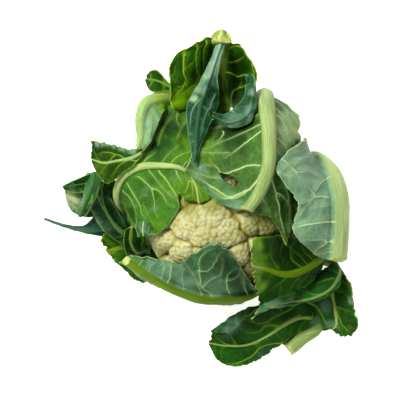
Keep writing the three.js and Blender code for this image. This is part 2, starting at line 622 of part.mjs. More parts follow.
        [[204, 219, 30], [172, 234, 31], [146, 249, 41], [136, 252, 58], [130, 240, 66], [132, 226, 71]],
        [[203, 216, 30], [170, 229, 31], [152, 243, 42], [150, 252, 57], [149, 243, 66], [145, 229, 72]],
      ],
    }],
  },
};

const cauliflower = new THREE.Group();

function add(name, geometry, colour, roughness) {
  const material = new THREE.MeshStandardMaterial({ color: colour, roughness, metalness: 0 });
  const mesh = new THREE.Mesh(geometry, material);
  mesh.name = name;
  cauliflower.add(mesh);
}

add('stalk', stalk(), colours.stalk, 0.6);
add('curd', toGeometry(curd()), colours.curd, 0.75);
for (const [name, leaf] of Object.entries(leaves)) {
  let solid = sheet(leaf.sheets[0]);
  for (const more of leaf.sheets.slice(1)) solid = solid.add(sheet(more));
  if (leaf.slit) solid = solid.subtract(prism(leaf.slit));
  add(name, toGeometry(solid), leaf.colour, 0.55);
}

export default cauliflower;
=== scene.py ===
import math

import bpy
import numpy as np
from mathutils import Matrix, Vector, kdtree, noise


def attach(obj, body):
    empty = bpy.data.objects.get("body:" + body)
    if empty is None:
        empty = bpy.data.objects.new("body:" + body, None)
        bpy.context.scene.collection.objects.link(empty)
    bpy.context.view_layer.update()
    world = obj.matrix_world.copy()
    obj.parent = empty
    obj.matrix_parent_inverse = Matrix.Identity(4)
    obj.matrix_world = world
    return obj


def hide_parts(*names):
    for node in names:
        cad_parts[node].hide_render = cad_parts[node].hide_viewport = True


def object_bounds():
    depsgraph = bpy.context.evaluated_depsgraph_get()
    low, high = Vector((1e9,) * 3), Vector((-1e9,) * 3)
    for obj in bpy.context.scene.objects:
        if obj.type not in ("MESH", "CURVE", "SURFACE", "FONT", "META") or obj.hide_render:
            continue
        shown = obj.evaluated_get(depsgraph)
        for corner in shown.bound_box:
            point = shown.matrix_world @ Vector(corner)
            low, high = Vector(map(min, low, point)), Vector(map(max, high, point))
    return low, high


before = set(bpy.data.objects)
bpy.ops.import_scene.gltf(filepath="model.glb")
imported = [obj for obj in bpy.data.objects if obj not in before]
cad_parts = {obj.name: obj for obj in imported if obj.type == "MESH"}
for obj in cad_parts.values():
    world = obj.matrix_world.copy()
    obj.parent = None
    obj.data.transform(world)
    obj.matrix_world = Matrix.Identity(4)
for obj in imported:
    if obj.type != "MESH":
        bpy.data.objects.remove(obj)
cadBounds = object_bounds()
print("frame loaded")

# Plan points are millimetres on a 400 mm square sheet: x from its left edge, y from its back edge, z up.
sheetAxis = (225, 205)  # the stalk's axis on that sheet
mm = 0.001


# sRGB hex to linear; dim below 1 darkens it.
def linearColour(hexCode, dim=1.0):
    channels = [int(int(hexCode[i:i + 2], 16) * dim) / 255 for i in (1, 3, 5)]
    return tuple(c / 12.92 if c <= 0.04045 else ((c + 0.055) / 1.055) ** 2.4 for c in channels) + (1.0,)


# Adds a node with its settings. An input is a value or another node's output, by name or by place.
def addNode(tree, kind, inputs=(), output=0, **settings):
    node = tree.nodes.new("ShaderNode" + kind)
    for key, value in settings.items():
        setattr(node, key, value)
    for key, value in inputs.items() if isinstance(inputs, dict) else enumerate(inputs):
        if isinstance(value, bpy.types.NodeSocket):
            tree.links.new(value, node.inputs[key])
        else:
            node.inputs[key].default_value = value
    return node.outputs[output] if len(node.outputs) else None


# Settings that many nodes share: colours mixed by a share, a value eased into another range, a product.
colourMix = dict(output=2, data_type="RGBA")
eased = dict(interpolation_type="SMOOTHSTEP")
product = dict(operation="MULTIPLY")


def newMaterial(name):
    material = bpy.data.materials.new(name)
    material.use_nodes = True
    material.node_tree.nodes.clear()
    return material, material.node_tree


# Lays colours over a base colour, each by its own share.
def layColours(tree, base, layers):
    for share, colour in layers:
        base = addNode(tree, "Mix", {0: share, 6: base, 7: colour}, **colourMix)
    return base


def addPiece(name, verts, faces, values, material, nodes):
    mesh = bpy.data.meshes.new(name)
    mesh.from_pydata(verts.tolist(), [], faces)
    mesh.validate()
    for key, amounts in values.items():
        layer = mesh.attributes.new(key, "FLOAT", "POINT")
        layer.data.foreach_set("value", np.asarray(amounts, dtype=np.float32))
    mesh.materials.append(material)
    mesh.shade_smooth()
    piece = bpy.data.objects.new(name, mesh)
    bpy.context.scene.collection.objects.link(piece)
    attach(piece, "root")
    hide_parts(*nodes)
    return piece


# Smooth curves through the points, any number side by side. A whole number in params is a point itself.
def splineThrough(points, params):
    last = len(points) - 1
    index = np.clip(np.floor(params).astype(int), 0, last - 1)
    share = (params - index)[:, None, None]
    before = np.concatenate([[2 * points[0] - points[1]], points])
    after = np.concatenate([points, [2 * points[-1] - points[-2]]])
    a, b, c, d = before[index], points[index], points[index + 1], after[index + 2]
    ab, bc, cd = (np.maximum(np.linalg.norm(q - p, axis=2, keepdims=True), 1e-4) ** 0.5
                  for p, q in ((a, b), (b, c), (c, d)))
    leave = ((b - a) / ab - (c - a) / (ab + bc) + (c - b) / bc) * bc
    arrive = ((c - b) / bc - (d - b) / (bc + cd) + (d - c) / cd) * bc
    return (b + leave * share + (-3 * b + 3 * c - 2 * leave - arrive) * share ** 2
            + (2 * b - 2 * c + leave + arrive) * share ** 3)


# Values given at whole numbers, eased in between.
def between(values, params):
    values = np.array(values, dtype=float)
    index = np.clip(np.floor(params).astype(int), 0, len(values) - 2)
    share = params - index
    share = share * share * (3 - 2 * share)
    return values[index] * (1 - share) + values[index + 1] * share


# Noise from -1 to 1 whose bumps are as wide as the scale in mm.
def softNoise(places, scale, seed):
    return np.array([noise.noise(Vector(p / scale) + Vector((seed, 7.3 * seed, 2.1))) for p in places])


# The leaves, in mm. Colours: upper face, back, midrib, veins. A sheet is a bent blade: its lines run from
# base to tip, one beside the other, and ribLine says which of them is the midrib. ribHalf and ribDepth are
# the midrib's half width and thickness at each step along it, wave is the height, count and phase of the
# margins' waves, calm the steps without them, slant the slope of the knife cut, stub the length of bare flesh
# at it. Veins: half width at start and end, then their way. Tints are x, y, reach, amount and at times the
# only sheet: young yellow-green that is partly painted light shining through the blade, painted shade in deep
# green, pale as a stalk (on the back leaf's midrib band painted light against a cast shadow), or white with
# wax. dull lists the sheets whose veins and midrib are darker. Points are on the plan sheet.
leaves = {
    "leaf_over_top": dict(  # from the back over the top right of the head, torn, its back up
        upper="#235A0C", back="#457328", rib="#ABC37A", vein="#BCD68C", gloss=0.48, slot="leaf_pale",
        sheets=[
            dict(ribLine=2, backUp=True, calm=4, wave=(2, 5, 0.1), slant=5,
                 ribHalf=(6, 7, 8, 8.5, 8, 7.5, 7, 6.5, 6.5), ribDepth=(4, 5, 6, 6.5, 6.5, 6, 6, 6, 7),
                 lines=[
                     [(243, 187, 28), (268, 162, 33), (292, 132, 54), (296, 114, 76), (300, 123, 96),
                      (300, 146, 100), (299, 182, 107), (297, 212, 108), (286, 246, 105)],
                     [(240, 184, 28), (256, 152, 30), (274, 115, 48), (281, 102, 78), (284, 113, 108),
                      (286, 142, 119), (284, 172, 124), (278, 198, 123), (270, 218, 120)],
                     [(235, 181, 28), (246, 150, 30), (258, 112, 46), (264, 95, 78), (266, 108, 116),
                      (268, 138, 132), (267, 167, 137), (259, 191, 136), (245, 211, 130)],
                     [(232, 180, 28), (240, 149, 30), (253, 113, 45), (257, 99, 74), (253, 114, 104),
                      (234, 134, 120), (226, 160, 127), (220, 183, 128), (221, 204, 128)],
                     [(229, 180, 28), (236, 148, 30), (249, 115, 45), (251, 103, 70), (243, 119, 99),
                      (207, 122, 111), (195, 144, 119), (188, 161, 121), (184, 171, 121)]])],
        slit=[(219, 173), (229, 175), (237, 181), (240, 188), (231, 185), (223, 180)],
        veins=[
            [0.9, 0.4, (260, 130), (250, 138), (238, 147), (222, 158)],
            [0.9, 0.4, (258, 164), (246, 165), (236, 169), (225, 174), (218, 172), (213, 166), (199, 167)],
            [1.3, 0.5, (258, 176), (250, 187), (240, 193), (230, 197), (222, 195), (212, 187), (203, 179),
             (196, 175)],
            [0.8, 0.3, (248, 190), (238, 197), (228, 200), (218, 197), (208, 188)],
            [0.6, 0.2, (224, 131), (220, 138), (213, 142)],
            [1.0, 0.4, (272, 112), (281, 118), (288, 130), (293, 142)],
            [0.9, 0.3, (273, 145), (279, 152), (284, 158)],
            [1.0, 0.4, (271, 178), (275, 190), (279, 206), (282, 222), (286, 236), (283, 244)],
            [0.6, 0.2, (277, 193), (284, 198), (291, 208)]],
        youngAndPaintedLight=[(284, 243, 8, 0.8), (206, 150, 14, 0.5), (212, 145, 10, 0.3)],
        paintedShade=[(228, 134, 14, 0.9), (244, 124, 12, 1.0), (238, 142, 12, 0.85), (214, 128, 8, 0.7),
              (234, 130, 11, 1.0), (288, 200, 12, 0.95), (290, 214, 8, 0.9), (297, 146, 4, 0.9),
              (280, 138, 5, 0.35)],
        pale=[(262, 205, 4, 0.4), (287, 131, 17, 0.8), (280, 118, 8, 0.4)],
        waxy=[(286, 118, 10, 0.5), (284, 130, 12, 0.6), (292, 136, 10, 0.7), (280, 158, 11, 0.7),
              (230, 207, 16, 0.45), (212, 196, 10, 0.3), (200, 174, 9, 0.4)]),
    "leaf_right": dict(  # round the right side, very wide pale midrib
        upper="#235A0C", back="#84AC84", rib="#C6E096", vein="#C6DCA8", gloss=0.48, slot="leaf_pale",
        sheets=[
            dict(ribLine=2, backUp=True, calm=4, wave=(1.8, 4, 0.6), slant=6,
                 ribHalf=(6, 8, 10, 12, 13, 13, 13, 12, 11), ribDepth=(3, 5, 7, 8, 8, 8, 8, 8, 8),
                 lines=[
                     [(251, 195, 12), (288, 184, 14), (316, 176, 20), (332, 172, 30), (342, 181, 38),
                      (346, 199, 38), (346, 223, 41), (345, 244, 50), (342, 261, 66)],
                     [(249, 192, 12), (286, 179, 14), (312, 168, 24), (329, 165, 44), (342, 177, 62),
                      (348, 197, 66), (348, 223, 68), (346, 245, 70), (341, 262, 75)],
                     [(247, 190, 12), (280, 173, 15), (304, 162, 30), (317, 160, 58), (331, 174, 81),
                      (338, 195, 91), (339, 222, 93), (338, 245, 91), (337, 262, 88)],
                     [(245, 188, 12), (276, 168, 15), (300, 154, 36), (310, 151, 76), (313, 170, 103),
                      (318, 195, 111), (319, 221, 112), (317, 243, 107), (319, 257, 99)],
                     [(243, 186, 12), (273, 165, 15), (298, 151, 40), (307, 146, 95), (294, 168, 127),
                      (307, 200, 119), (305, 223, 117), (305, 241, 111), (315, 255, 101)],
                     [(241, 185, 12), (271, 163, 15), (297, 149, 43), (304, 139, 110), (275, 169, 137),
                      (297, 206, 123), (291, 228, 117), (297, 240, 111), (313, 254, 102)]])],
        veins=[
            [1.2, 0.6, (333, 222), (320, 223), (306, 226), (290, 229)],
            [1.0, 0.5, (330, 197), (322, 196), (314, 198), (308, 202), (294, 206)],
            [0.7, 0.3, (282, 158), (292, 168), (300, 178), (306, 186), (309, 198)],
            [0.6, 0.2, (316, 195), (310, 188), (304, 181)],
            [0.6, 0.2, (271, 170), (282, 174), (296, 178)],
            [0.6, 0.2, (291, 167), (300, 172), (308, 170), (314, 172), (320, 176)],
            [0.7, 0.2, (334, 243), (322, 241), (310, 241), (302, 242)],
            [0.4, 0.2, (330, 205), (320, 207), (312, 208)]],
        youngAndPaintedLight=[(303, 138, 3, 0.9)],
        paintedShade=[(312, 246, 9, 0.35), (306, 214, 9, 0.25)],
        waxy=[(312, 184, 18, 0.7), (296, 198, 10, 0.4), (318, 212, 12, 0.45), (322, 234, 10, 0.4),
              (304, 156, 10, 0.4)]),
    "leaf_front": dict(  # round the front, green midrib
        upper="#235A0C", back="#4C7B4A", rib="#729420", vein="#A3C088", gloss=0.46, slot="leaf_teal",
        sheets=[
            dict(ribLine=2, backUp=True, calm=4, wave=(1.8, 5, 0.2), slant=5,
                 ribHalf=(6, 7, 7.5, 8, 8, 8, 7.5, 7, 6, 5.5),
                 ribDepth=(3, 4, 5, 6, 6.5, 6.5, 6, 5.5, 5, 5),
                 lines=[
                     [(234, 228, 27), (245, 267, 26), (249, 292, 30), (241, 302, 36), (221, 303, 36),
                      (200, 301, 39), (175, 294, 44), (149, 282, 53), (131, 270, 64), (120, 262, 79)],
                     [(237, 227, 27), (249, 265, 27), (254, 290, 34), (245, 302, 46), (224, 305, 52),
                      (203, 304, 55), (178, 296, 60), (152, 284, 66), (133, 271, 74), (121, 262, 82)],
                     [(240, 225, 27), (256, 262, 27), (261, 284, 40), (248, 294, 59), (225, 297, 71),
                      (203, 297, 76), (180, 290, 80), (155, 278, 83), (137, 266, 85), (125, 258, 87)],
                     [(242, 224, 27), (259, 260, 28), (265, 282, 44), (251, 290, 70), (229, 289, 87),
                      (208, 279, 98), (186, 279, 95), (163, 272, 92), (145, 263, 90), (127, 257, 89)],
                     [(244, 222, 27), (262, 258, 28), (268, 280, 48), (253, 288, 78), (235, 278, 98),
                      (213, 259, 117), (192, 265, 108), (172, 267, 98), (152, 260, 92), (129, 256, 90)],
                     [(245, 221, 27), (264, 256, 29), (270, 278, 52), (255, 286, 85), (240, 265, 109),
                      (218, 242, 127), (195, 253, 118), (181, 262, 104), (158, 258, 94), (131, 255, 91)]])],
        veins=[
            [1.1, 0.6, (167, 286), (170, 274), (169, 262)],
            [1.1, 0.5, (212, 295), (204, 290), (200, 281), (199, 270), (198, 263)],
            [0.7, 0.3, (199, 272), (206, 272), (212, 268), (218, 258), (222, 253)],
            [0.6, 0.2, (198, 266), (200, 258), (206, 252), (215, 248)],
            [0.7, 0.3, (203, 289), (210, 281), (219, 277), (223, 270), (224, 260)],
            [0.9, 0.3, (230, 295), (227, 287), (228, 276), (235, 270)],
            [0.5, 0.2, (228, 282), (238, 277), (243, 268)],
            [0.6, 0.2, (184, 288), (181, 278), (184, 270)],
            [0.6, 0.3, (148, 276), (150, 267), (156, 262)]],
        youngAndPaintedLight=[(133, 262, 12, 0.35)],
        paintedShade=[(208, 258, 13, 0.55), (222, 262, 14, 0.6), (238, 276, 15, 0.9), (246, 288, 12, 0.95),
              (214, 248, 8, 0.6)],
        waxy=[(158, 270, 16, 0.45), (186, 284, 12, 0.5), (214, 288, 10, 0.4), (176, 272, 10, 0.3)]),
    "leaf_right_inner": dict(  # between head and right leaf, bright margin at the florets
        upper="#154A05", back="#44743C", rib="#6F8F0C", vein="#5F860E", gloss=0.42, ragged=1.8,
        sheets=[
            dict(ribLine=2, backUp=False, calm=4, wave=(1.6, 4, 0.4),
                 ribHalf=(5, 6, 6.5, 6.5, 6, 5, 4, 3, 2), ribDepth=(4, 4, 4.5, 5, 4.5, 4, 3, 2, 1),
                 lines=[
                     [(246, 216, 27), (278, 232, 32), (308, 252, 42), (320, 266, 54), (311, 281, 67),
                      (298, 291, 74), (284, 297, 79), (271, 302, 84), (256, 306, 90)],
                     [(248, 213, 27), (281, 227, 33), (313, 246, 44), (324, 259, 58), (314, 271, 71),
                      (299, 281, 79), (283, 286, 84), (269, 287, 90), (253, 285, 97)],
                     [(249, 210, 27), (283, 223, 34), (316, 241, 48), (327, 252, 62), (318, 261, 75),
                      (301, 271, 83), (284, 274, 88), (267, 269, 97), (251, 265, 106)],
                     [(250, 207, 27), (287, 215, 35), (321, 229, 52), (328, 240, 67), (317, 249, 80),
                      (301, 253, 88), (284, 254, 93), (267, 252, 106), (249, 250, 115)],
                     [(250, 204, 27), (290, 207, 37), (324, 215, 57), (328, 226, 74), (316, 236, 85),
                      (300, 235, 95), (285, 235, 101), (269, 234, 113), (252, 237, 119)]])],
        veins=[
            [0.8, 0.3, (280, 269), (274, 262), (271, 250), (275, 240)],
            [0.8, 0.3, (302, 267), (293, 262), (291, 252), (294, 241)],
            [0.6, 0.2, (314, 260), (306, 253), (301, 244)],
            [0.8, 0.3, (300, 272), (290, 277), (282, 283), (272, 290), (262, 297)],
            [0.6, 0.2, (275, 273), (268, 280), (262, 287)],
            [0.6, 0.2, (264, 264), (260, 254), (258, 245)],
            [0.5, 0.2, (284, 246), (281, 254), (284, 262)],
            [0.7, 0.3, (264, 268), (257, 260), (252, 256)],
            [0.7, 0.3, (260, 262), (256, 252), (253, 244)],
            [0.7, 0.3, (264, 272), (258, 276), (253, 282)]],
        youngAndPaintedLight=[(253, 243, 9, 1.0), (253, 256, 8, 1.0), (254, 270, 9, 0.95), (257, 284, 8, 0.8),
               (259, 258, 8, 0.9), (264, 264, 7, 0.5), (270, 270, 6, 0.4)],
        paintedShade=[(286, 250, 14, 1.0), (304, 250, 16, 1.0), (276, 296, 10, 0.5), (296, 258, 12, 1.0),
              (318, 248, 10, 0.9)],
        pale=[(254, 250, 8, 0.25), (255, 266, 9, 0.25), (257, 282, 8, 0.15)]),
    "leaf_right_under": dict(  # below it, with a thin pale strand for a midrib
        upper="#2C7224", back="#447440", rib="#8DAE60", vein="#5E9040", gloss=0.42,
        sheets=[
            dict(ribLine=1, backUp=False, calm=4, wave=(1.6, 4, 0.1),
                 ribHalf=(4, 5, 5, 3, 1.8, 1.5, 1.3, 1.2, 1),
                 ribDepth=(3, 4, 4, 2.5, 1.5, 1.2, 1, 0.8, 0.6),
                 lines=[
                     [(247, 217, 13), (283, 239, 14), (319, 264, 22), (342, 273, 46), (335, 291, 56),
                      (315, 301, 59), (290, 305, 60), (269, 309, 58), (250, 318, 54)],
                     [(248, 214, 13), (285, 235, 14), (322, 258, 24), (340, 269, 50), (332, 288, 60),
                      (314, 298, 63), (290, 302, 64), (270, 306, 63), (254, 315, 58)],
                     [(249, 212, 13), (286, 232, 15), (324, 254, 26), (338, 265, 52), (328, 280, 59),
                      (311, 289, 62), (290, 293, 65), (273, 298, 66), (259, 306, 63)],
                     [(250, 210, 13), (287, 229, 16), (326, 250, 28), (335, 259, 51), (321, 270, 56),
                      (306, 279, 59), (290, 284, 63), (276, 290, 66), (261, 300, 66)]])],
        veins=[
            [0.8, 0.3, (335, 277), (322, 280), (312, 285), (302, 290)],
            [0.8, 0.4, (322, 296), (308, 291), (298, 288), (290, 288), (284, 296)],
            [0.5, 0.2, (300, 296), (288, 296), (276, 302)]],
        paintedShade=[(318, 270, 14, 1.0), (300, 284, 8, 0.6), (330, 272, 12, 0.9)],
        waxy=[(270, 307, 8, 1.0), (261, 314, 6, 1.0), (280, 302, 6, 0.9), (291, 299, 5, 0.7)]),
    "leaf_front_right": dict(  # outermost, two lobes and a thick cut midrib
        upper="#1F600F", back="#3C764C", rib="#A6C070", vein="#7CA232", gloss=0.42,
        sheets=[
            dict(ribLine=1, backUp=True, calm=9, slant=6, ribHalf=(5, 6, 7, 8, 8, 7.5, 7.5),
                 ribDepth=(3, 4, 5, 7, 8, 9, 9),
                 lines=[
                     [(237, 227, 10), (261, 269, 11), (286, 307, 15), (312, 324, 16), (314, 336, 17),
                      (304, 347, 10), (293, 357, 7)],
                     [(241, 225, 10), (273, 260, 10), (301, 296, 15), (320, 317, 22), (315, 329, 24),
                      (301, 340, 15), (288, 351, 11)],
                     [(244, 222, 10), (283, 250, 13), (315, 286, 19), (328, 312, 22), (318, 322, 28),
                      (298, 333, 17), (283, 345, 13)]]),
            dict(ribLine=2, backUp=False, calm=0, wave=(1.6, 3, 0.3),
                 ribHalf=(2.5, 2, 1.8, 1.6, 1.4, 1.2, 1), ribDepth=(2, 1.8, 1.5, 1.2, 1, 0.8, 0.6),
                 lines=[
                     [(318, 331, 24), (300, 335, 22), (283, 345, 19), (268, 356, 14), (250, 366, 9),
                      (230, 369, 5), (217, 361, 6)],
                     [(319, 325, 26), (300, 327, 25), (283, 335, 25), (266, 345, 23), (246, 354, 13),
                      (226, 357, 8), (211, 352, 9)],
                     [(320, 319, 28), (300, 319, 29), (284, 327, 28), (268, 337, 26), (248, 346, 16),
                      (226, 347, 12), (208, 344, 12)],
                     [(320, 309, 34), (300, 307, 37), (281, 310, 37), (262, 316, 36), (243, 324, 29),
                      (226, 330, 22), (210, 338, 15)],
                     [(320, 300, 38), (300, 297, 42), (280, 298, 43), (260, 303, 44), (240, 312, 38),
                      (224, 322, 32), (211, 332, 20)],
                     [(319, 301, 40), (300, 299, 44), (279, 301, 46), (260, 308, 48), (243, 322, 39),
                      (232, 334, 31), (217, 333, 23)]]),
            dict(ribLine=2, backUp=False, calm=0, wave=(1.6, 2, 0.1), ribHalf=(1.6, 1.8, 1.8, 1.6, 1.2),
                 ribDepth=(1, 1.2, 1.2, 1, 0.8),
                 lines=[
                     [(343, 268, 37), (351, 283, 46), (357, 306, 48), (360, 325, 43), (353, 337, 35)],
                     [(336, 270, 34), (343, 288, 42), (347, 307, 41), (348, 325, 36), (342, 338, 31)],
                     [(328, 272, 38), (333, 293, 39), (336, 311, 36), (337, 326, 32), (331, 332, 28)],
                     [(319, 276, 37), (322, 298, 37), (325, 314, 33), (326, 326, 29), (320, 332, 26)],
                     [(309, 284, 36), (309, 303, 35), (312, 317, 31), (312, 327, 26), (307, 331, 22)]])],
        veins=[
            [1.1, 0.5, (300, 318), (290, 323), (280, 329), (268, 338), (255, 346), (240, 349), (226, 347),
             (216, 340), (212, 334)],
            [1.1, 0.6, (282, 346), (272, 347), (262, 350), (252, 358), (242, 364), (232, 367), (222, 365)],
            [0.6, 0.3, (278, 328), (268, 328), (258, 334), (248, 335), (240, 331)],
            [0.6, 0.3, (300, 304), (290, 312), (278, 318), (262, 326), (252, 324), (244, 322)],
            [1.3, 0.9, (307, 303), (318, 310), (324, 322), (328, 330)],
            [1.0, 0.4, (329, 295), (334, 308), (340, 322), (347, 333), (350, 335)],
            [0.5, 0.2, (333, 290), (342, 294), (348, 298)],
            [0.5, 0.2, (336, 308), (344, 311), (351, 312)],
            [0.5, 0.2, (336, 280), (344, 283), (350, 285)],
            [0.5, 0.2, (282, 330), (277, 336), (284, 343)],
            [0.4, 0.2, (226, 347), (221, 355), (223, 363)]],
        paintedShade=[(258, 318, 18, 0.8), (286, 312, 12, 0.9), (236, 342, 12, 0.6), (312, 306, 8, 0.8),
              (344, 300, 10, 0.4)],
        waxy=[(230, 333, 6, 0.75), (238, 322, 8, 0.5), (326, 308, 7, 0.55), (332, 326, 6, 0.5),
              (316, 324, 6, 0.4), (264, 360, 8, 0.3), (354, 300, 4, 0.7)]),
    "leaf_over_left": dict(  # arches from the left over the head
        upper="#1B5A0C", back="#447C20", rib="#B6CC80", vein="#9CBD62", gloss=0.44, slot="leaf_mid",
        sheets=[
            dict(ribLine=2, backUp=True, calm=4, wave=(1.4, 4, 0.8),
                 ribHalf=(5, 6, 7, 6.5, 5.5, 4.5, 4, 3.5, 2.6, 1.6, 1.2, 1),
                 ribDepth=(3, 4, 5, 4.5, 4, 3.5, 3, 2.5, 1.8, 1, 0.8, 0.5),
                 lines=[
                     [(201, 206, 27), (168, 212, 28), (134, 207, 36), (117, 196, 56), (118, 180, 78),
                      (131, 157, 90), (147, 131, 89), (165, 109, 83), (191, 105, 86), (203, 143, 107),
                      (211, 180, 122), (213, 197, 124)],
                     [(200, 209, 27), (168, 215, 28), (134, 211, 36), (118, 200, 56), (118, 184, 80),
                      (127, 166, 93), (143, 151, 97), (164, 141, 98), (184, 140, 102), (198, 163, 114),
                      (204, 184, 121), (206, 202, 123)],
                     [(200, 212, 27), (168, 219, 28), (136, 215, 36), (121, 205, 57), (118, 190, 82),
                      (125, 176, 95), (142, 167, 102), (163, 166, 109), (180, 168, 113), (190, 175, 116),
                      (196, 187, 120), (199, 203, 122)],
                     [(200, 215, 27), (169, 223, 28), (140, 220, 36), (126, 212, 57), (125, 199, 83),
                      (135, 192, 96), (149, 191, 104), (164, 190, 110), (176, 188, 114), (184, 186, 117),
                      (188, 192, 119), (191, 202, 121)],
                     [(201, 217, 27), (170, 226, 28), (144, 223, 37), (131, 218, 58), (130, 224, 80),
                      (143, 234, 88), (157, 235, 97), (173, 219, 112), (179, 206, 117), (179, 195, 118),
                      (181, 197, 119), (182, 200, 120)]]),
            dict(ribLine=1, backUp=True, calm=0, ribHalf=(1, 1, 1), ribDepth=(0.3, 0.3, 0.3),
                 lines=[
                     [(137, 219, 88), (136, 228, 90), (139, 237, 87)],
                     [(144, 220, 92), (143, 229, 93), (144, 238, 89)],
                     [(151, 222, 95), (150, 230, 95), (149, 237, 91)]])],
        veins=[
            [0.9, 0.4, (137, 176), (145, 183), (151, 189), (159, 192), (163, 198), (166, 204), (173, 207)],
            [0.7, 0.3, (151, 189), (153, 200), (154, 210), (156, 217)],
            [1.0, 0.4, (126, 184), (132, 194), (139, 206), (142, 216), (146, 220)],
            [0.8, 0.3, (122, 192), (129, 199), (134, 210), (136, 221)],
            [1.0, 0.4, (158, 171), (165, 181), (172, 190), (176, 198), (177, 206)],
            [0.8, 0.3, (175, 170), (178, 177), (182, 183)],
            [0.9, 0.3, (140, 163), (147, 157), (155, 151)],
            [0.8, 0.3, (166, 166), (172, 160), (178, 155), (188, 151), (193, 150)],
            [0.6, 0.2, (183, 165), (187, 160), (193, 158)],
            [0.6, 0.2, (154, 166), (162, 160), (170, 151), (178, 145)],
            [0.6, 0.3, (188, 180), (185, 189), (181, 195)],
            [0.6, 0.3, (190, 179), (191, 188), (192, 197)],
            [0.6, 0.3, (192, 180), (197, 190), (200, 199)],
            [0.5, 0.2, (195, 181), (202, 188), (207, 195)],
            [0.5, 0.2, (176, 112), (177, 121), (181, 129)]],
        youngAndPaintedLight=[(192, 190, 17, 0.9), (182, 154, 12, 0.5), (190, 142, 9, 0.8), (168, 186, 12, 0.35),
               (158, 222, 8, 0.6), (184, 116, 8, 0.35)],
        paintedShade=[(190, 191, 13, 0.5), (180, 142, 11, 0.35), (152, 140, 16, 1.0), (166, 122, 18, 1.0),
              (166, 146, 9, 0.7), (128, 216, 9, 0.7), (184, 130, 8, 0.6), (156, 158, 9, 0.5),
              (150, 226, 7, 0.6)],
        waxy=[(144, 229, 6, 0.8)]),
    "leaf_upper_left": dict(  # rolled pale midrib, dark lobe to the left
        upper="#1D4C00", back="#86AA7E", rib="#A2BF76", vein="#86AC20", gloss=0.44, slot="leaf_pale",
        sheets=[
            dict(ribLine=2, backUp=True, calm=9, ribHalf=(5, 6, 7, 8, 8.5, 8, 7, 5, 3),
                 ribDepth=(3, 4, 5, 6, 6, 5.5, 4.5, 3, 1.5),
                 lines=[
                     [(214, 184, 12), (210, 152, 17), (205, 123, 34), (184, 114, 68), (167, 110, 88),
                      (163, 115, 96), (158, 127, 101), (151, 143, 105), (142, 154, 108)],
                     [(212, 185, 12), (204, 151, 14), (196, 117, 33), (180, 105, 70), (164, 105, 90),
                      (153, 110, 96), (149, 124, 101), (147, 139, 105), (141, 153, 107)],
                     [(211, 186, 12), (201, 151, 14), (191, 115, 34), (178, 99, 69), (160, 98, 85),
                      (146, 105, 90), (141, 121, 95), (141, 138, 101), (138, 149, 104)],
                     [(209, 187, 12), (193, 154, 17), (180, 114, 38), (172, 95, 64), (157, 95, 79),
                      (142, 102, 82), (136, 119, 88), (137, 138, 97), (136, 146, 102)]]),
            dict(ribLine=1, backUp=False, calm=0, wave=(0.8, 2, 0), ribHalf=(2, 2, 1.5, 1.5, 1),
                 ribDepth=(1, 1, 0.8, 0.6, 0.5),
                 lines=[
                     [(142, 157, 108), (134, 167, 106), (122, 175, 102), (109, 184, 97), (97, 174, 93)],
                     [(142, 153, 108), (132, 158, 105), (118, 161, 101), (104, 163, 96), (91, 159, 92)],
                     [(142, 148, 107), (131, 149, 105), (118, 145, 101), (104, 142, 97), (92, 139, 94)]])],
        veins=[
            [0.9, 0.4, (139, 161), (128, 159), (114, 155), (104, 153), (96, 155)],
            [0.6, 0.2, (114, 156), (108, 161), (103, 168), (100, 172)],
            [0.6, 0.2, (126, 160), (118, 165), (113, 172), (110, 178)],
            [0.6, 0.3, (141, 153), (140, 161)],
            [0.9, 0.5, (150, 114), (152, 124), (152, 136), (148, 146)],
            [0.6, 0.3, (143, 127), (145, 136), (143, 144)]],
        youngAndPaintedLight=[(163, 104, 9, 1.0), (98, 168, 9, 0.35)],
        paintedShade=[(132, 158, 8, 0.35), (112, 150, 10, 0.2)],
        waxy=[(153, 126, 9, 0.9), (146, 138, 8, 0.8), (176, 96, 7, 0.7), (98, 142, 4, 1.0, 1),
              (107, 144, 4, 1.0, 1), (116, 146, 4, 1.0, 1), (125, 149, 4, 1.0, 1), (134, 151, 4, 1.0, 1)]),
    "leaf_back": dict(  # tall: two lobes, a hanging strip, a curled margin and a small lobe
        # Its dark blue-green back is partly its own waxed underside and partly painted shade on the hanging
        # strip and the curl.
        upper="#28600A", back="#164A2A", rib="#6E9A3C", vein="#9DBF30", gloss=0.4, stub=8, dull=[1, 2],
        sheets=[
            dict(ribLine=3, backUp=False, calm=3, wave=(2.2, 3, 0.2), ribHalf=(6, 7, 8, 9, 10, 10, 10),
                 ribDepth=(4, 5, 7, 9, 10, 11, 11),
                 lines=[
                     [(216, 182, 11), (213, 145, 8), (207, 104, 40), (172, 109, 97), (168, 86, 98),
                      (171, 62, 101), (207, 36, 107)],
                     [(218, 181, 11), (215, 145, 7), (211, 104, 34), (191, 107, 88), (184, 80, 92),
                      (187, 56, 99), (212, 38, 107)],
                     [(220, 181, 11), (218, 145, 6), (216, 101, 28), (207, 97, 62), (203, 68, 84),
                      (204, 50, 98), (216, 40, 108)],
                     [(222, 181, 11), (222, 145, 6), (221, 98, 22), (221, 78, 44), (221, 57, 72),
                      (221, 45, 96), (221, 40, 110)],
                     [(224, 181, 11), (226, 145, 6), (226, 103, 26), (230, 98, 56), (236, 68, 80),
                      (236, 50, 98), (227, 41, 108)],
                     [(226, 181, 11), (228, 145, 7), (229, 106, 34), (239, 109, 80), (248, 78, 95),
                      (247, 57, 103), (233, 42, 107)],
                     [(228, 182, 11), (231, 145, 8), (232, 106, 40), (250, 106, 105), (255, 86, 107),
                      (255, 68, 107), (240, 44, 107)]]),
            dict(ribLine=1, backUp=True, calm=9, ribHalf=(2, 2, 2, 2, 1.5, 1),
                 ribDepth=(0.8, 0.8, 0.8, 0.8, 0.6, 0.4),
                 lines=[
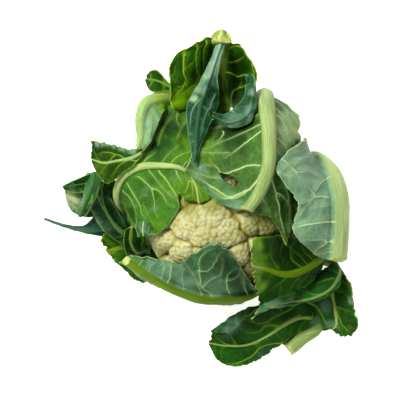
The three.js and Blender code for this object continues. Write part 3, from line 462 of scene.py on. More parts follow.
                     [(254, 75, 103), (256, 92, 112), (255, 110, 118), (250, 123, 122), (230, 129, 125),
                      (213, 120, 127)],
                     [(250, 75, 99), (252, 91, 112), (250, 108, 120), (244, 117, 124), (228, 123, 127),
                      (212, 117, 129)],
                     [(245, 75, 95), (245, 89, 107), (240, 102, 114), (232, 110, 119), (223, 115, 123),
                      (212, 112, 127)]]),
            dict(ribLine=1, backUp=True, calm=9, ribHalf=(2, 2, 2, 2, 1.5, 1),
                 ribDepth=(1.5, 1.5, 1.2, 1, 0.8, 0.5),
                 lines=[
                     [(226, 44, 103), (218, 76, 108), (219, 104, 116), (209, 128, 124), (201, 147, 127),
                      (195, 164, 129)],
                     [(221, 43, 104), (209, 79, 112), (201, 105, 120), (197, 128, 126), (196, 148, 128),
                      (194, 165, 129)],
                     [(216, 44, 103), (202, 78, 108), (186, 106, 115), (187, 126, 122), (190, 146, 126),
                      (193, 164, 129)]]),
            dict(ribLine=1, backUp=False, calm=9, ribHalf=(1.5, 1.5, 1.5, 1.5, 1),
                 ribDepth=(1, 1, 1, 0.6, 0.5),
                 lines=[
                     [(184, 93, 92), (172, 91, 94), (163, 92, 92), (152, 92, 90), (147, 85, 88)],
                     [(184, 90, 93), (172, 88, 96), (160, 82, 94), (151, 80, 91), (145, 79, 88)],
                     [(185, 87, 93), (173, 86, 96), (165, 78, 96), (158, 70, 96), (148, 72, 91)]])],
        veins=[
            [1.1, 0.5, (185, 52), (185, 62), (185, 72), (187, 82), (184, 88), (179, 93), (172, 104)],
            [0.5, 0.2, (185, 70), (190, 67), (193, 64)],
            [0.5, 0.2, (185, 56), (190, 52)],
            [0.7, 0.3, (198, 44), (197, 58), (198, 70), (200, 78), (198, 84)],
            [0.9, 0.5, (208, 40), (205, 52), (205, 66), (204, 78)],
            [0.6, 0.3, (198, 85), (190, 90), (182, 96), (175, 103)],
            [0.4, 0.2, (170, 77), (175, 75), (177, 68)],
            [1.9, 1.2, (222, 58), (220, 72), (219, 84), (222, 96), (228, 106), (234, 112)],
            [1.4, 0.8, (222, 58), (226, 51), (233, 48), (241, 50), (247, 58), (251, 70), (253, 84),
             (253, 98)],
            [0.7, 0.3, (223, 61), (230, 63), (238, 61), (244, 57)],
            [0.9, 0.4, (222, 72), (229, 73), (236, 77), (244, 75), (251, 74)],
            [0.9, 0.4, (232, 111), (230, 100), (232, 91), (238, 87), (240, 83)],
            [0.6, 0.3, (236, 88), (244, 86), (251, 82)],
            [0.9, 0.4, (208, 88), (198, 100), (191, 110), (189, 122), (188, 130)],
            [0.7, 0.3, (216, 94), (212, 104), (206, 116), (204, 128), (202, 140)]],
        # The young spots on sheet 0 along the midrib band are yellow tissue and also painted light against
        # the hanging strip's cast shadow.
        youngAndPaintedLight=[(182, 104, 13, 0.95, 0), (190, 94, 10, 0.7, 0), (200, 86, 7, 0.5, 0), (217, 78, 6, 0.9, 0),
               (218, 90, 7, 1.0, 0), (224, 104, 7, 1.0, 0), (232, 108, 5, 0.9, 0), (224, 52, 6, 0.8, 0),
               (220, 66, 5, 0.9, 0)],
        paintedShade=[(236, 66, 14, 1.0, 0), (240, 82, 14, 1.0, 0), (238, 98, 9, 0.7, 0), (214, 118, 9, 0.7),
              (212, 96, 8, 0.8), (174, 64, 10, 0.3), (252, 98, 7, 0.3), (156, 80, 13, 0.6)],
        # The pale spots on sheet 0 along the midrib are painted light that lifts the hanging strip's cast
        # shadow; those on sheet 2 are the strip's pale waxed band.
        pale=[(221, 60, 5, 0.5, 0), (220, 72, 5, 0.5, 0), (220, 84, 5, 0.5, 0), (224, 97, 5, 0.5, 0),
              (231, 108, 5, 0.4, 0), (217, 52, 5, 0.5, 2), (212, 66, 5, 0.5, 2), (206, 79, 5, 0.5, 2),
              (199, 91, 4, 0.6, 2), (194, 99, 4, 0.7, 2)],
        waxy=[(218, 48, 8, 1.0, 2), (215, 60, 8, 1.0, 2), (208, 74, 9, 0.9, 2), (200, 88, 7, 0.7, 2),
              (194, 99, 5, 0.7, 2), (196, 152, 9, 0.1, 2), (252, 114, 9, 0.7, 1), (253, 92, 4, 0.7, 1),
              (234, 122, 14, 0.4, 1)]),
    "leaf_far_left": dict(  # tip folded over
        upper="#164A04", back="#4E8246", rib="#47793E", vein="#7CA450", gloss=0.44, slot="leaf_teal",
        sheets=[
            dict(ribLine=1, backUp=True, calm=9, ribHalf=(5, 8, 10, 9, 7, 5, 3),
                 ribDepth=(3, 6, 8, 7, 5, 3, 1.5),
                 lines=[
                     [(200, 203, 11), (160, 202, 15), (121, 210, 25), (97, 217, 42), (84, 217, 56),
                      (72, 212, 63), (66, 201, 67)],
                     [(201, 199, 11), (160, 192, 13), (119, 197, 22), (94, 203, 48), (80, 203, 62),
                      (70, 197, 68), (64, 192, 71)],
                     [(202, 195, 11), (160, 182, 16), (118, 183, 28), (92, 191, 52), (80, 190, 67),
                      (71, 189, 72), (62, 187, 73)]]),
            dict(ribLine=1, backUp=True, calm=9, ribHalf=(1.5, 2, 2, 1.5), ribDepth=(0.8, 1, 1, 0.6),
                 lines=[
                     [(105, 175, 84), (101, 187, 86), (94, 204, 83), (85, 218, 74)],
                     [(95, 172, 85), (92, 187, 89), (86, 203, 84), (79, 217, 70)],
                     [(86, 173, 80), (84, 188, 80), (80, 203, 75), (74, 214, 65)]]),
            dict(ribLine=1, backUp=False, calm=9, ribHalf=(1, 1, 1), ribDepth=(0.4, 0.4, 0.4),
                 lines=[
                     [(88, 193, 78), (75, 193, 75), (62, 189, 73)],
                     [(89, 183, 80), (75, 185, 77), (62, 187, 74)],
                     [(90, 173, 82), (76, 179, 79), (62, 186, 75)]])],
        veins=[
            [1.0, 0.4, (94, 203), (92, 190), (95, 176)],
            [0.8, 0.3, (90, 205), (84, 196), (78, 190)]],
        paintedShade=[(84, 222, 12, 0.95), (76, 182, 10, 0.7)],
        pale=[(71, 197, 10, 1.0, 0), (76, 204, 5, 0.6, 0)],
        waxy=[(76, 200, 8, 0.8)]),
    "leaf_wisp": dict(  # narrow, with a thin point
        upper="#1F5630", back="#356A4C", rib="#5C8A6C", vein="#6C9678", gloss=0.48, slot="leaf_teal",
        sheets=[
            dict(ribLine=1, backUp=True, calm=9, ribHalf=(4, 6, 8, 6, 3, 1.5, 0.8),
                 ribDepth=(2.5, 4.5, 5, 4, 2, 0.8, 0.4),
                 lines=[
                     [(201, 214, 8), (165, 219, 8), (128, 233, 9), (103, 237, 20), (86, 234, 28),
                      (66, 228.5, 36), (42, 219.5, 46)],
                     [(201, 210, 8), (163, 214, 8), (125, 225, 10), (100, 226, 23), (86, 230, 30),
                      (66, 226.5, 37), (43, 218.6, 46)],
                     [(201, 206, 8), (162, 209, 8), (122, 217, 11), (98, 213, 27), (84, 225, 32),
                      (66, 224.5, 38), (43, 217.6, 46)]])]),
    "leaf_left_inner": dict(  # blue-green, behind the arching leaf
        upper="#1C5420", back="#124610", rib="#6A9458", vein="#7FA464", gloss=0.44, slot="leaf_teal",
        sheets=[
            dict(ribLine=1, backUp=True, calm=9, ribHalf=(4, 6, 6, 3, 1.8, 1.5, 1.2),
                 ribDepth=(3, 4, 5, 3, 1.2, 1, 0.8),
                 lines=[
                     [(205, 221, 19), (174, 241, 20), (134, 251, 35), (114, 240, 48), (101, 229, 56),
                      (92, 212, 66), (90, 190, 75)],
                     [(203, 218, 19), (170, 233, 18), (141, 240, 30), (123, 233, 47), (110, 219, 58),
                      (103, 203, 68), (100, 181, 77)],
                     [(201, 215, 19), (166, 226, 20), (146, 229, 29), (131, 225, 46), (124, 210, 48),
                      (118, 194, 56), (117, 179, 70)]])],
        veins=[
            [1.1, 0.6, (94, 186), (100, 202), (108, 213), (117, 226), (123, 233)],
            [0.8, 0.3, (105, 182), (103, 192), (102, 202)],
            [0.8, 0.3, (112, 200), (118, 210), (123, 219), (127, 227)]],
        paintedShade=[(112, 194, 12, 0.3)],
        pale=[(91, 212, 3, 0.9), (94, 222, 4, 0.9), (98, 231, 4, 0.7)],
        waxy=[(92, 212, 5, 0.8), (98, 222, 5, 0.5), (106, 228, 6, 0.25)]),
    "leaf_left_low": dict(  # low, under the front leaf
        upper="#2A6A10", back="#3E6E3C", rib="#8FB040", vein="#98B83C", gloss=0.42,
        sheets=[
            dict(ribLine=2, backUp=False, calm=3, wave=(1.2, 3, 0.5), ribHalf=(5, 6, 7, 5, 2.5, 2),
                 ribDepth=(3, 4, 6, 5, 2, 1),
                 lines=[
                     [(212, 225, 10), (187, 244, 6.4), (160, 268, 10), (142, 285, 22), (125, 272, 33),
                      (112, 258, 44)],
                     [(210, 224, 10), (184, 241, 6.4), (155, 258, 10), (137, 265, 24), (121, 261, 40),
                      (109, 256, 45)],
                     [(208, 222, 10), (181, 237, 6.4), (151, 247, 10), (131, 246, 25), (117, 249, 37),
                      (106, 252, 46)],
                     [(206, 220, 10), (179, 234, 6.4), (148, 240, 10), (125, 238, 27), (111, 240, 37),
                      (102, 247, 47)],
                     [(205, 218, 10), (177, 231, 6.4), (146, 234, 10), (120, 231, 28), (105, 232, 38),
                      (99, 241, 47)]])],
        veins=[
            [1.1, 0.5, (108, 254), (116, 250), (124, 243)],
            [0.9, 0.4, (124, 262), (132, 252), (138, 244)],
            [0.9, 0.4, (132, 262), (138, 272), (142, 280)]],
        youngAndPaintedLight=[(112, 244, 14, 0.3)]),
    "leaf_left_curd": dict(  # small, beside the florets; its very dark green is painted shade
        upper="#103C04", back="#44743C", rib="#7FA048", vein="#7CA428", gloss=0.42,
        sheets=[
            dict(ribLine=1, backUp=False, calm=9, ribHalf=(4, 4, 4, 2, 1.4, 1.2),
                 ribDepth=(2.5, 2.5, 2.5, 1.4, 1, 0.8),
                 lines=[
                     [(206, 221, 30), (175, 239, 31), (142, 258, 40), (127, 256, 56), (123, 241, 66),
                      (125, 228, 70)],
                     [(204, 219, 30), (172, 234, 31), (146, 249, 41), (136, 252, 58), (130, 240, 66),
                      (132, 226, 71)],
                     [(203, 216, 30), (170, 229, 31), (152, 243, 42), (150, 252, 57), (149, 243, 66),
                      (145, 229, 72)]])],
        veins=[
            [0.9, 0.4, (130, 227), (131, 238), (130, 250)],
            [0.6, 0.2, (138, 230), (142, 240), (142, 250)]],
        paintedShade=[(140, 248, 14, 0.9), (132, 236, 8, 0.6)]),
}


# What all blades share, in mm.
blade = dict(
    pitch=1.4,  # mesh step
    skin=0.55,  # half the blade's thickness
    ribSteps=np.array([0.22, 0.44, 0.64, 0.8, 0.92, 1.0]),  # columns across half a midrib
    tracing=60, crossing=24,  # steps in which curves are measured, along and across
    teeth=((2.0, 6.0, 4.4), (2.6, 2.7, 8.8)),  # margin teeth: height, width, seed
    smoothTeeth=0.3,  # how much of them a margin without waves has
    quilt=1.3, quiltReach=4.4,  # the blade swells between its veins
    ripple=1.3, smallRipple=0.4, rimRuffle=2.4, rimReach=4,
    ridge=0.7, groove=0.25,  # a vein stands out of the back and is sunk in the upper face
    nicks=((3.4, 5.5, 6.6), (3.0, 2.6, 1.9)),  # notches in an uncut tip: depth, width, seed
    capSteps=5,  # rows on the end face
)


def gridNormals(points):
    normals = np.cross(np.gradient(points, axis=1), np.gradient(points, axis=0))
    return normals / np.maximum(np.linalg.norm(normals, axis=2, keepdims=True), 1e-9)


def tipways(points):
    ways = np.gradient(points, axis=0)
    return ways / np.maximum(np.linalg.norm(ways, axis=2, keepdims=True), 1e-9)


def jagged(places, cuts):
    return sum(height * np.abs(softNoise(places, width, seed)) for height, width, seed in cuts)


# Columns on one side of the midrib: distance from its middle, share of its half width, share of the blade.
def sideColumns(sheet, side, reach, ribHalf, distance, start):
    half = np.minimum(ribHalf, 0.8 * reach)
    columns = max(3, math.ceil((reach - half).max() / blade["pitch"]))
    steps = np.arange(1, columns + 1) / columns
    line = np.stack(np.broadcast_arrays(distance, 40.0 * side, start), axis=1)
    tooth = np.minimum(jagged(line, blade["teeth"]), 0.25 * (reach - half))
    tooth *= 1 if "wave" in sheet else blade["smoothTeeth"]
    half, width, tooth = half[:, None], (reach - half)[:, None], tooth[:, None]
    offset = np.concatenate([half * blade["ribSteps"], half + width * steps - tooth * steps ** 3], axis=1)
    rib = np.broadcast_to(np.concatenate([blade["ribSteps"], np.ones(columns)]), offset.shape)
    out = np.broadcast_to(np.concatenate([np.zeros(len(blade["ribSteps"])), steps]), offset.shape)
    return offset, rib, out


# A sheet's middle surface: rows from base to tip, columns from margin to margin.
def sheetGrid(sheet):
    lines = np.array(sheet["lines"], dtype=float)
    lines = np.stack([lines[..., 0] - sheetAxis[0], sheetAxis[1] - lines[..., 1], lines[..., 2]], axis=2)
    along = lines.transpose(1, 0, 2)
    last = len(along) - 1
    dense = np.linspace(0, last, blade["tracing"] * last + 1)
    walk = np.linalg.norm(np.diff(splineThrough(along, dense), axis=0), axis=2).mean(axis=1)
    walk = np.concatenate([[0], np.cumsum(walk)])
    rows = max(6, math.ceil(walk[-1] / blade["pitch"]))
    distance = np.linspace(0, walk[-1], rows + 1)
    params = np.interp(distance, walk, dense)
    curves = splineThrough(along, params).transpose(1, 0, 2)
    steps = (len(lines) - 1) * blade["crossing"]
    cross = splineThrough(curves, np.linspace(0, len(lines) - 1, steps + 1))
    lengths = np.cumsum(np.linalg.norm(np.diff(cross, axis=0), axis=2), axis=0)
    lengths = np.concatenate([np.zeros((1, rows + 1)), lengths])
    middle = lengths[sheet["ribLine"] * blade["crossing"]]
    ribHalf = between(sheet["ribHalf"], params)
    start = lines[0, 0, 0]
    left = sideColumns(sheet, -1, middle, ribHalf, distance, start)
    right = sideColumns(sheet, 1, lengths[-1] - middle, ribHalf, distance, start)
    centre = np.zeros((rows + 1, 1))
    offset, rib, out = (np.concatenate([sign * a[:, ::-1], centre, b], axis=1)
                        for sign, a, b in zip((-1, 1, 1), left, right))
    points = np.zeros(offset.shape + (3,))
    for row in range(rows + 1):
        for axis in range(3):
            points[row, :, axis] = np.interp(middle[row] + offset[row], lengths[:, row], cross[:, row, axis])
    height, count, phase = sheet.get("wave", (0, 1, 0))
    fade = np.clip((params - sheet["calm"]) * 1.2, 0, 1)
    turns = count * (params / last)[:, None] + phase + np.where(offset > 0, 0.37, 0)
    wave = height * fade[:, None] * np.sin(2 * math.pi * turns) * out ** 2
    points = points + gridNormals(points) * wave[..., None]
    rim = np.minimum(offset - offset[:, :1], offset[:, -1:] - offset)
    return dict(points=points, rib=rib, out=out, offset=offset, params=params, distance=distance, rim=rim)


# How veins lie and grow, in mm.
veinRules = dict(
    samples=8, smoothing=3,  # points to each drawn one, and rounds of smoothing once they lie on the blade
    reach=2.2,  # how near a drawn vein a point of the blade has to be
    jump=14,  # past a longer step the leaf has ended, and the vein goes on as another one
    wide=0.8, thin=0.6,  # share of the drawn half widths at start and end
    step=12.5,  # between side veins that grow by rule
    first=8, last=6,  # no side vein nearer to base and tip
    slope=(0.35, 0.65), curve=(0.5, 1.2), half=(0.4, 0.6), fork=(0.35, 0.6),
    clear=4.5, share=0.3,  # a vein with more than this share nearer than that to a drawn one is left out
)


# Lays veins drawn on the plan sheet on the highest part of the leaf under each of their points.
def drawnVeins(grid, paths):
    flat = grid["points"].reshape(-1, 3)
    laid = []
    for wide, thin, *path in paths:
        path = np.array(path, dtype=float)
        params = np.linspace(0, len(path) - 1, veinRules["samples"] * len(path))
        line = []
        for x, y in splineThrough(path[:, None, :], params)[:, 0, :]:
            gap = np.hypot(flat[:, 0] - (x - sheetAxis[0]), flat[:, 1] - (sheetAxis[1] - y))
            close = np.nonzero(gap < veinRules["reach"])[0]
            if len(close):
                line.append(flat[close[np.argmax(flat[close, 2])]])
        runs = [[]]
        for point in line:
            if runs[-1] and np.linalg.norm(point - runs[-1][-1]) > veinRules["jump"]:
                runs.append([])
            runs[-1].append(point)
        for run in (np.array(run) for run in runs if len(run) > 3):
            for _ in range(veinRules["smoothing"]):
                run[1:-1] = (run[:-2] + 2 * run[1:-1] + run[2:]) / 4
            laid.append((wide * veinRules["wide"], thin * veinRules["thin"], run))
    return laid


# One side vein, from a column of the sheet outwards until it nears the margin or the tip.
def sideVein(grid, here, column, side, slope, curve, stop):
    points, offset, out, distance = grid["points"], grid["offset"], grid["out"], grid["distance"]
    rows, columns = offset.shape
    run = []
    while True:
        row = np.interp(here, distance, np.arange(rows))
        i = int(min(row, rows - 2))
        run.append(points[i, column] * (1 - (row - i)) + points[i + 1, column] * (row - i))
        beyond = column + side
        if out[i, column] > stop or here > distance[-1] - 3 or not 0 <= beyond < columns:
            return np.array(run)
        here += abs(offset[i, beyond] - offset[i, column]) * (slope + curve * out[i, column])
        column = beyond


# Side veins leave the midrib at even steps and sweep to the tip, each forked once, clear of the drawn ones.
def grownVeins(grid, seed, drawn):
    rng = np.random.default_rng(seed)
    offset, out, distance = grid["offset"], grid["out"], grid["distance"]
    middle = int(np.argmin(np.abs(offset[0])))
    taken = np.concatenate([run for _, _, run in drawn]) if drawn else np.zeros((0, 3))
    laid = []

    def keep(run, wide, thin):
        gaps = np.full(1, 99.0)
        if len(taken) and len(run) > 5:
            gaps = np.linalg.norm(run[::3, None, :] - taken[None, ::2, :], axis=2).min(axis=1)
        if len(run) > 5 and (gaps < veinRules["clear"]).mean() <= veinRules["share"]:
            laid.append((wide, thin, run))

    for side in (-1, 1):
        start = rng.uniform(veinRules["first"], veinRules["first"] + veinRules["step"])
        while start < distance[-1] - veinRules["last"]:
            slope = rng.uniform(*veinRules["slope"])
            curve = rng.uniform(*veinRules["curve"])
            wide = rng.uniform(*veinRules["half"])
            keep(sideVein(grid, start, middle, side, slope, curve, 0.93), wide, 0.12)
            forkAt = rng.uniform(*veinRules["fork"])
            row = int(np.interp(start, distance, np.arange(len(offset))))
            columns = np.nonzero((out[row] > forkAt) & (np.sign(offset[row]) == side))[0]
            if len(columns):
                column = columns[0] if side > 0 else columns[-1]
                fork = start + abs(offset[row, column]) * (slope + curve * 0.3)
                keep(sideVein(grid, fork, column, side, slope - 0.5, curve, 0.95), 0.3, 0.1)
            start += veinRules["step"] * rng.uniform(0.75, 1.25)
    return laid


# At each point: distance to the nearest vein, plus on its left and minus on its right, and without sign, and
# the vein's half width there. It thins out to nothing over its last quarter.
def veinField(flat, laid):
    gap = np.full(len(flat), 40.0)
    side = np.full(len(flat), 40.0)
    half = np.full(len(flat), 0.4)
    for wide, thin, run in laid:
        lowest, highest = run.min(axis=0) - 9, run.max(axis=0) + 9
        near = np.nonzero(((flat > lowest) & (flat < highest)).all(axis=1))[0]
        knots = run[::max(1, len(run) // 40)]
        for i in range(len(knots) - 1):
            a, way = knots[i], knots[i + 1] - knots[i]
            share = np.clip(((flat[near] - a) @ way) / max(way @ way, 1e-9), 0, 1)
            off = flat[near] - a - share[:, None] * way
            length = np.linalg.norm(off, axis=1)
            closer = length < gap[near]
            where = near[closer]
            cross = way[0] * off[:, 1] - way[1] * off[:, 0]
            done = (i + share) / (len(knots) - 1)
            gap[where] = length[closer]
            side[where] = (np.where(cross >= 0, 1, -1) * length)[closer]
            half[where] = ((wide + (thin - wide) * done) * np.minimum(1, 4 * (1.02 - done)))[closer]
    return side, gap, half


def inside(points, outline):
    x = points[..., 0] + sheetAxis[0]
    y = sheetAxis[1] - points[..., 1]
    odd = np.zeros(x.shape, dtype=bool)
    for (x0, y0), (x1, y1) in zip(outline, outline[1:] + outline[:1]):
        crosses = (y0 > y) != (y1 > y)
        odd ^= crosses & (x < (x1 - x0) * (y - y0) / ((y1 - y0) or 1e-9) + x0)
    return odd


# Each kind of tint at each point, from the leaf's list of spots, their edges made uneven by noise.
def tintsAt(leaf, number, flat):
    plan = np.stack([flat[:, 0] + sheetAxis[0], sheetAxis[1] - flat[:, 1]], axis=1)
    plan += 5 * np.stack([softNoise(flat, 9, 2.2), softNoise(flat, 9, 6.1)], axis=1)
    tints = {}
    for kind in ("youngAndPaintedLight", "paintedShade", "pale", "waxy"):
        tints[kind] = np.zeros(len(flat))
        for x, y, reach, amount, *only in leaf.get(kind, []):
            if not only or number in only:
                gap = np.hypot(plan[:, 0] - x, plan[:, 1] - y)
                tints[kind] = np.maximum(tints[kind], amount * np.exp(-(gap / reach) ** 3))
    return tints


# Faces of a shell whose second layer starts at the point number layer. A cell that isn't kept is left open.
def shellFaces(keep, index, layer):
    corners = index[:-1, :-1], index[:-1, 1:], index[1:, 1:], index[1:, :-1]
    a, b, c, d = (corner[keep] for corner in corners)
    faces = [np.stack([a, b, c, d], axis=1), np.stack([a, d, c, b], axis=1) + layer]
    padded = np.pad(keep, 1)
    before = keep & ~padded[:-2, 1:-1]
    after = keep & ~padded[2:, 1:-1]
    left = keep & ~padded[1:-1, :-2]
    right = keep & ~padded[1:-1, 2:]
    after[-1] = False  # the end face closes the last row
    a, b, c, d = corners
    for edge, first, second in ((before, a, b), (right, b, c), (after, c, d), (left, d, a)):
        first, second = first[edge], second[edge]
        faces.append(np.stack([second, first, first + layer, second + layer], axis=1))
    return faces


# One sheet as a closed shell: points in mm, faces, and the values that its material reads.
def sheetShell(leaf, number, sheet):
    grid = sheetGrid(sheet)
    points, rib, out, rim = grid["points"], grid["rib"], grid["out"], grid["rim"]
    size = rib.shape
    flat = points.reshape(-1, 3)
    drawn = drawnVeins(grid, leaf.get("veins", []))
    veinSide, veinGap, veinHalf = veinField(flat, drawn + grownVeins(grid, 11 + number, drawn))
    gap, half = veinGap.reshape(size), veinHalf.reshape(size)
    backUp = sheet["backUp"]
    onBlade = np.clip(out * 6, 0, 1)

    quilt = blade["quilt"] * (1 - np.exp(-(gap / blade["quiltReach"]) ** 2)) * onBlade
    ripple = softNoise(flat, 13, 3.1 + number).reshape(size) * blade["ripple"] * onBlade * (0.4 + 0.6 * out)
    ripple += softNoise(flat, 5, 9.7).reshape(size) * blade["smallRipple"] * onBlade
    nearRim = np.exp(-rim / blade["rimReach"])
    ripple += softNoise(flat, 8, 5.3 + number).reshape(size) * blade["rimRuffle"] * nearRim * onBlade
    middle = points + gridNormals(points) * ((-quilt if backUp else quilt) + ripple)[..., None]

    roundness = np.sqrt(np.clip(1 - rib ** 2, 0, 1))
    bulge = between(sheet["ribDepth"], grid["params"])[:, None] * roundness
    ridge = np.clip(half / 0.9, 0.25, 1) * np.exp(-(gap / (half + 0.6)) ** 2) * onBlade
    backSide = blade["skin"] + bulge + blade["ridge"] * ridge
    upperSide = blade["skin"] + 0.2 * bulge - blade["groove"] * ridge
    normals = gridNormals(middle)
    top = middle + normals * (backSide if backUp else upperSide)[..., None]
    bottom = middle - normals * (upperSide if backUp else backSide)[..., None]

    # The end: a midrib cut by the knife on a slope, or a blade that ends in notches.
    toEnd = (grid["distance"][-1] - grid["distance"])[:, None]
    cutTop = np.zeros(size)
    slant = sheet.get("slant", 0)
    if slant:
        shift = slant * np.clip(1 - toEnd / (2.2 * slant), 0, 1) ** 2 * roundness
        top = top - tipways(middle) * shift[..., None]
        cutTop = np.clip(1.6 - toEnd / (0.5 * slant), 0, 1) * (rib < 0.97)
    else:
        offset = grid["offset"][-1]
        line = np.stack(np.broadcast_arrays(offset, 70.0 + number, flat[0, 0]), axis=1)
        nick = jagged(line, blade["nicks"]) * leaf.get("ragged", 1)
        nick = np.exp(-toEnd / 5) * np.minimum(nick, 0.2 * grid["distance"][-1])
        shift = tipways(middle) * nick[..., None]
        top, bottom = top - shift, bottom - shift
    cutBottom = np.clip(1.6 - toEnd / max(leaf.get("stub", 0), 0.1), 0, 1) * (rib < 0.97) * (number == 0)

    rows, columns = size
    keep = np.ones((rows - 1, columns - 1), dtype=bool)
    if "slit" in leaf and number == 0:
        centres = (points[:-1, :-1] + points[1:, 1:]) / 2
        keep &= ~(inside(centres, leaf["slit"]) & (centres[..., 2] > 60))  # the tear isn't in the leaf's foot
    layer = rows * columns
    faces = shellFaces(keep, np.arange(layer).reshape(rows, columns), layer)
    steps = np.linspace(0, 1, blade["capSteps"] + 1)[:, None, None]
    cap = (top[-1] * (1 - steps) + bottom[-1] * steps).reshape(-1, 3)
    capIndex = 2 * layer + np.arange(len(cap)).reshape(-1, columns)
    corners = capIndex[:-1, 1:], capIndex[:-1, :-1], capIndex[1:, :-1], capIndex[1:, 1:]
    faces.append(np.stack([corner.ravel() for corner in corners], axis=1)[:, ::-1])
    verts = np.concatenate([top.reshape(-1, 3), bottom.reshape(-1, 3), cap])

    # Values on the top, the bottom and the end face.
    def spread(top, bottom=None, end=0.0):
        top = np.broadcast_to(top, size).ravel()
        bottom = top if bottom is None else np.broadcast_to(bottom, size).ravel()
        return np.concatenate([top, bottom, np.full(len(cap), end)])

    values = {kind: spread(amount.reshape(size)) for kind, amount in tintsAt(leaf, number, flat).items()}
    values.update(
        veinSide=spread(veinSide.reshape(size), end=40),  # mm from the nearest vein, minus on its right
        veinNear=spread(np.clip(1.5 - gap / 2.6, 0, 1)), veinHalf=spread(half),
        ribCross=spread(rib * np.where(grid["offset"] < 0, -1, 1)),  # -1 and 1 at the midrib's edges
        alongRib=spread(grid["distance"][:, None]), acrossRib=spread(grid["offset"]),
        rimGap=spread(rim, end=9), backFace=spread(float(backUp), float(not backUp), 1.0),
        dull=spread(float(number in leaf.get("dull", []))),
        cutFace=spread(np.maximum(cutTop, cutBottom), cutBottom, 1.0))
    return verts, np.concatenate(faces), values


def leafMesh(leaf):
    shells = [sheetShell(leaf, number, sheet) for number, sheet in enumerate(leaf["sheets"])]
    starts = np.cumsum([0] + [len(verts) for verts, _, _ in shells])
    faces = np.concatenate([faces + start for (_, faces, _), start in zip(shells, starts)])
    values = {key: np.concatenate([shell[2][key] for shell in shells]) for key in shells[0][2]}
    verts = np.concatenate([verts for verts, _, _ in shells]) * mm
    margin = 0.0001
    verts = np.clip(verts, np.array(cadBounds[0]) + margin, np.array(cadBounds[1]) - margin)
    return verts, faces, values


leafSkin = dict(
    wax="#93B7A0", youngAndPaintedLight="#6A9600", paintedShade="#072E00", pale="#AFC48C",
    dullVein="#6F9A72", youngAndLitRim="#A8C23A",
    dullRib="#24563A", youngAndLitRib="#94AC08", paleRib="#C6D2A0", waxedRib="#9CBAA4",
    flesh="#C2CB84", fibreEnds="#9FAF4C",
    # Repeats in a metre: blotches 26 mm, patches 10.5, grain 2.4, bends of the net 9, its meshes 7.1 and 2.5.
    blotch=38, patch=95, grain=420, netBend=110, wideNet=140, fineNet=400,
)


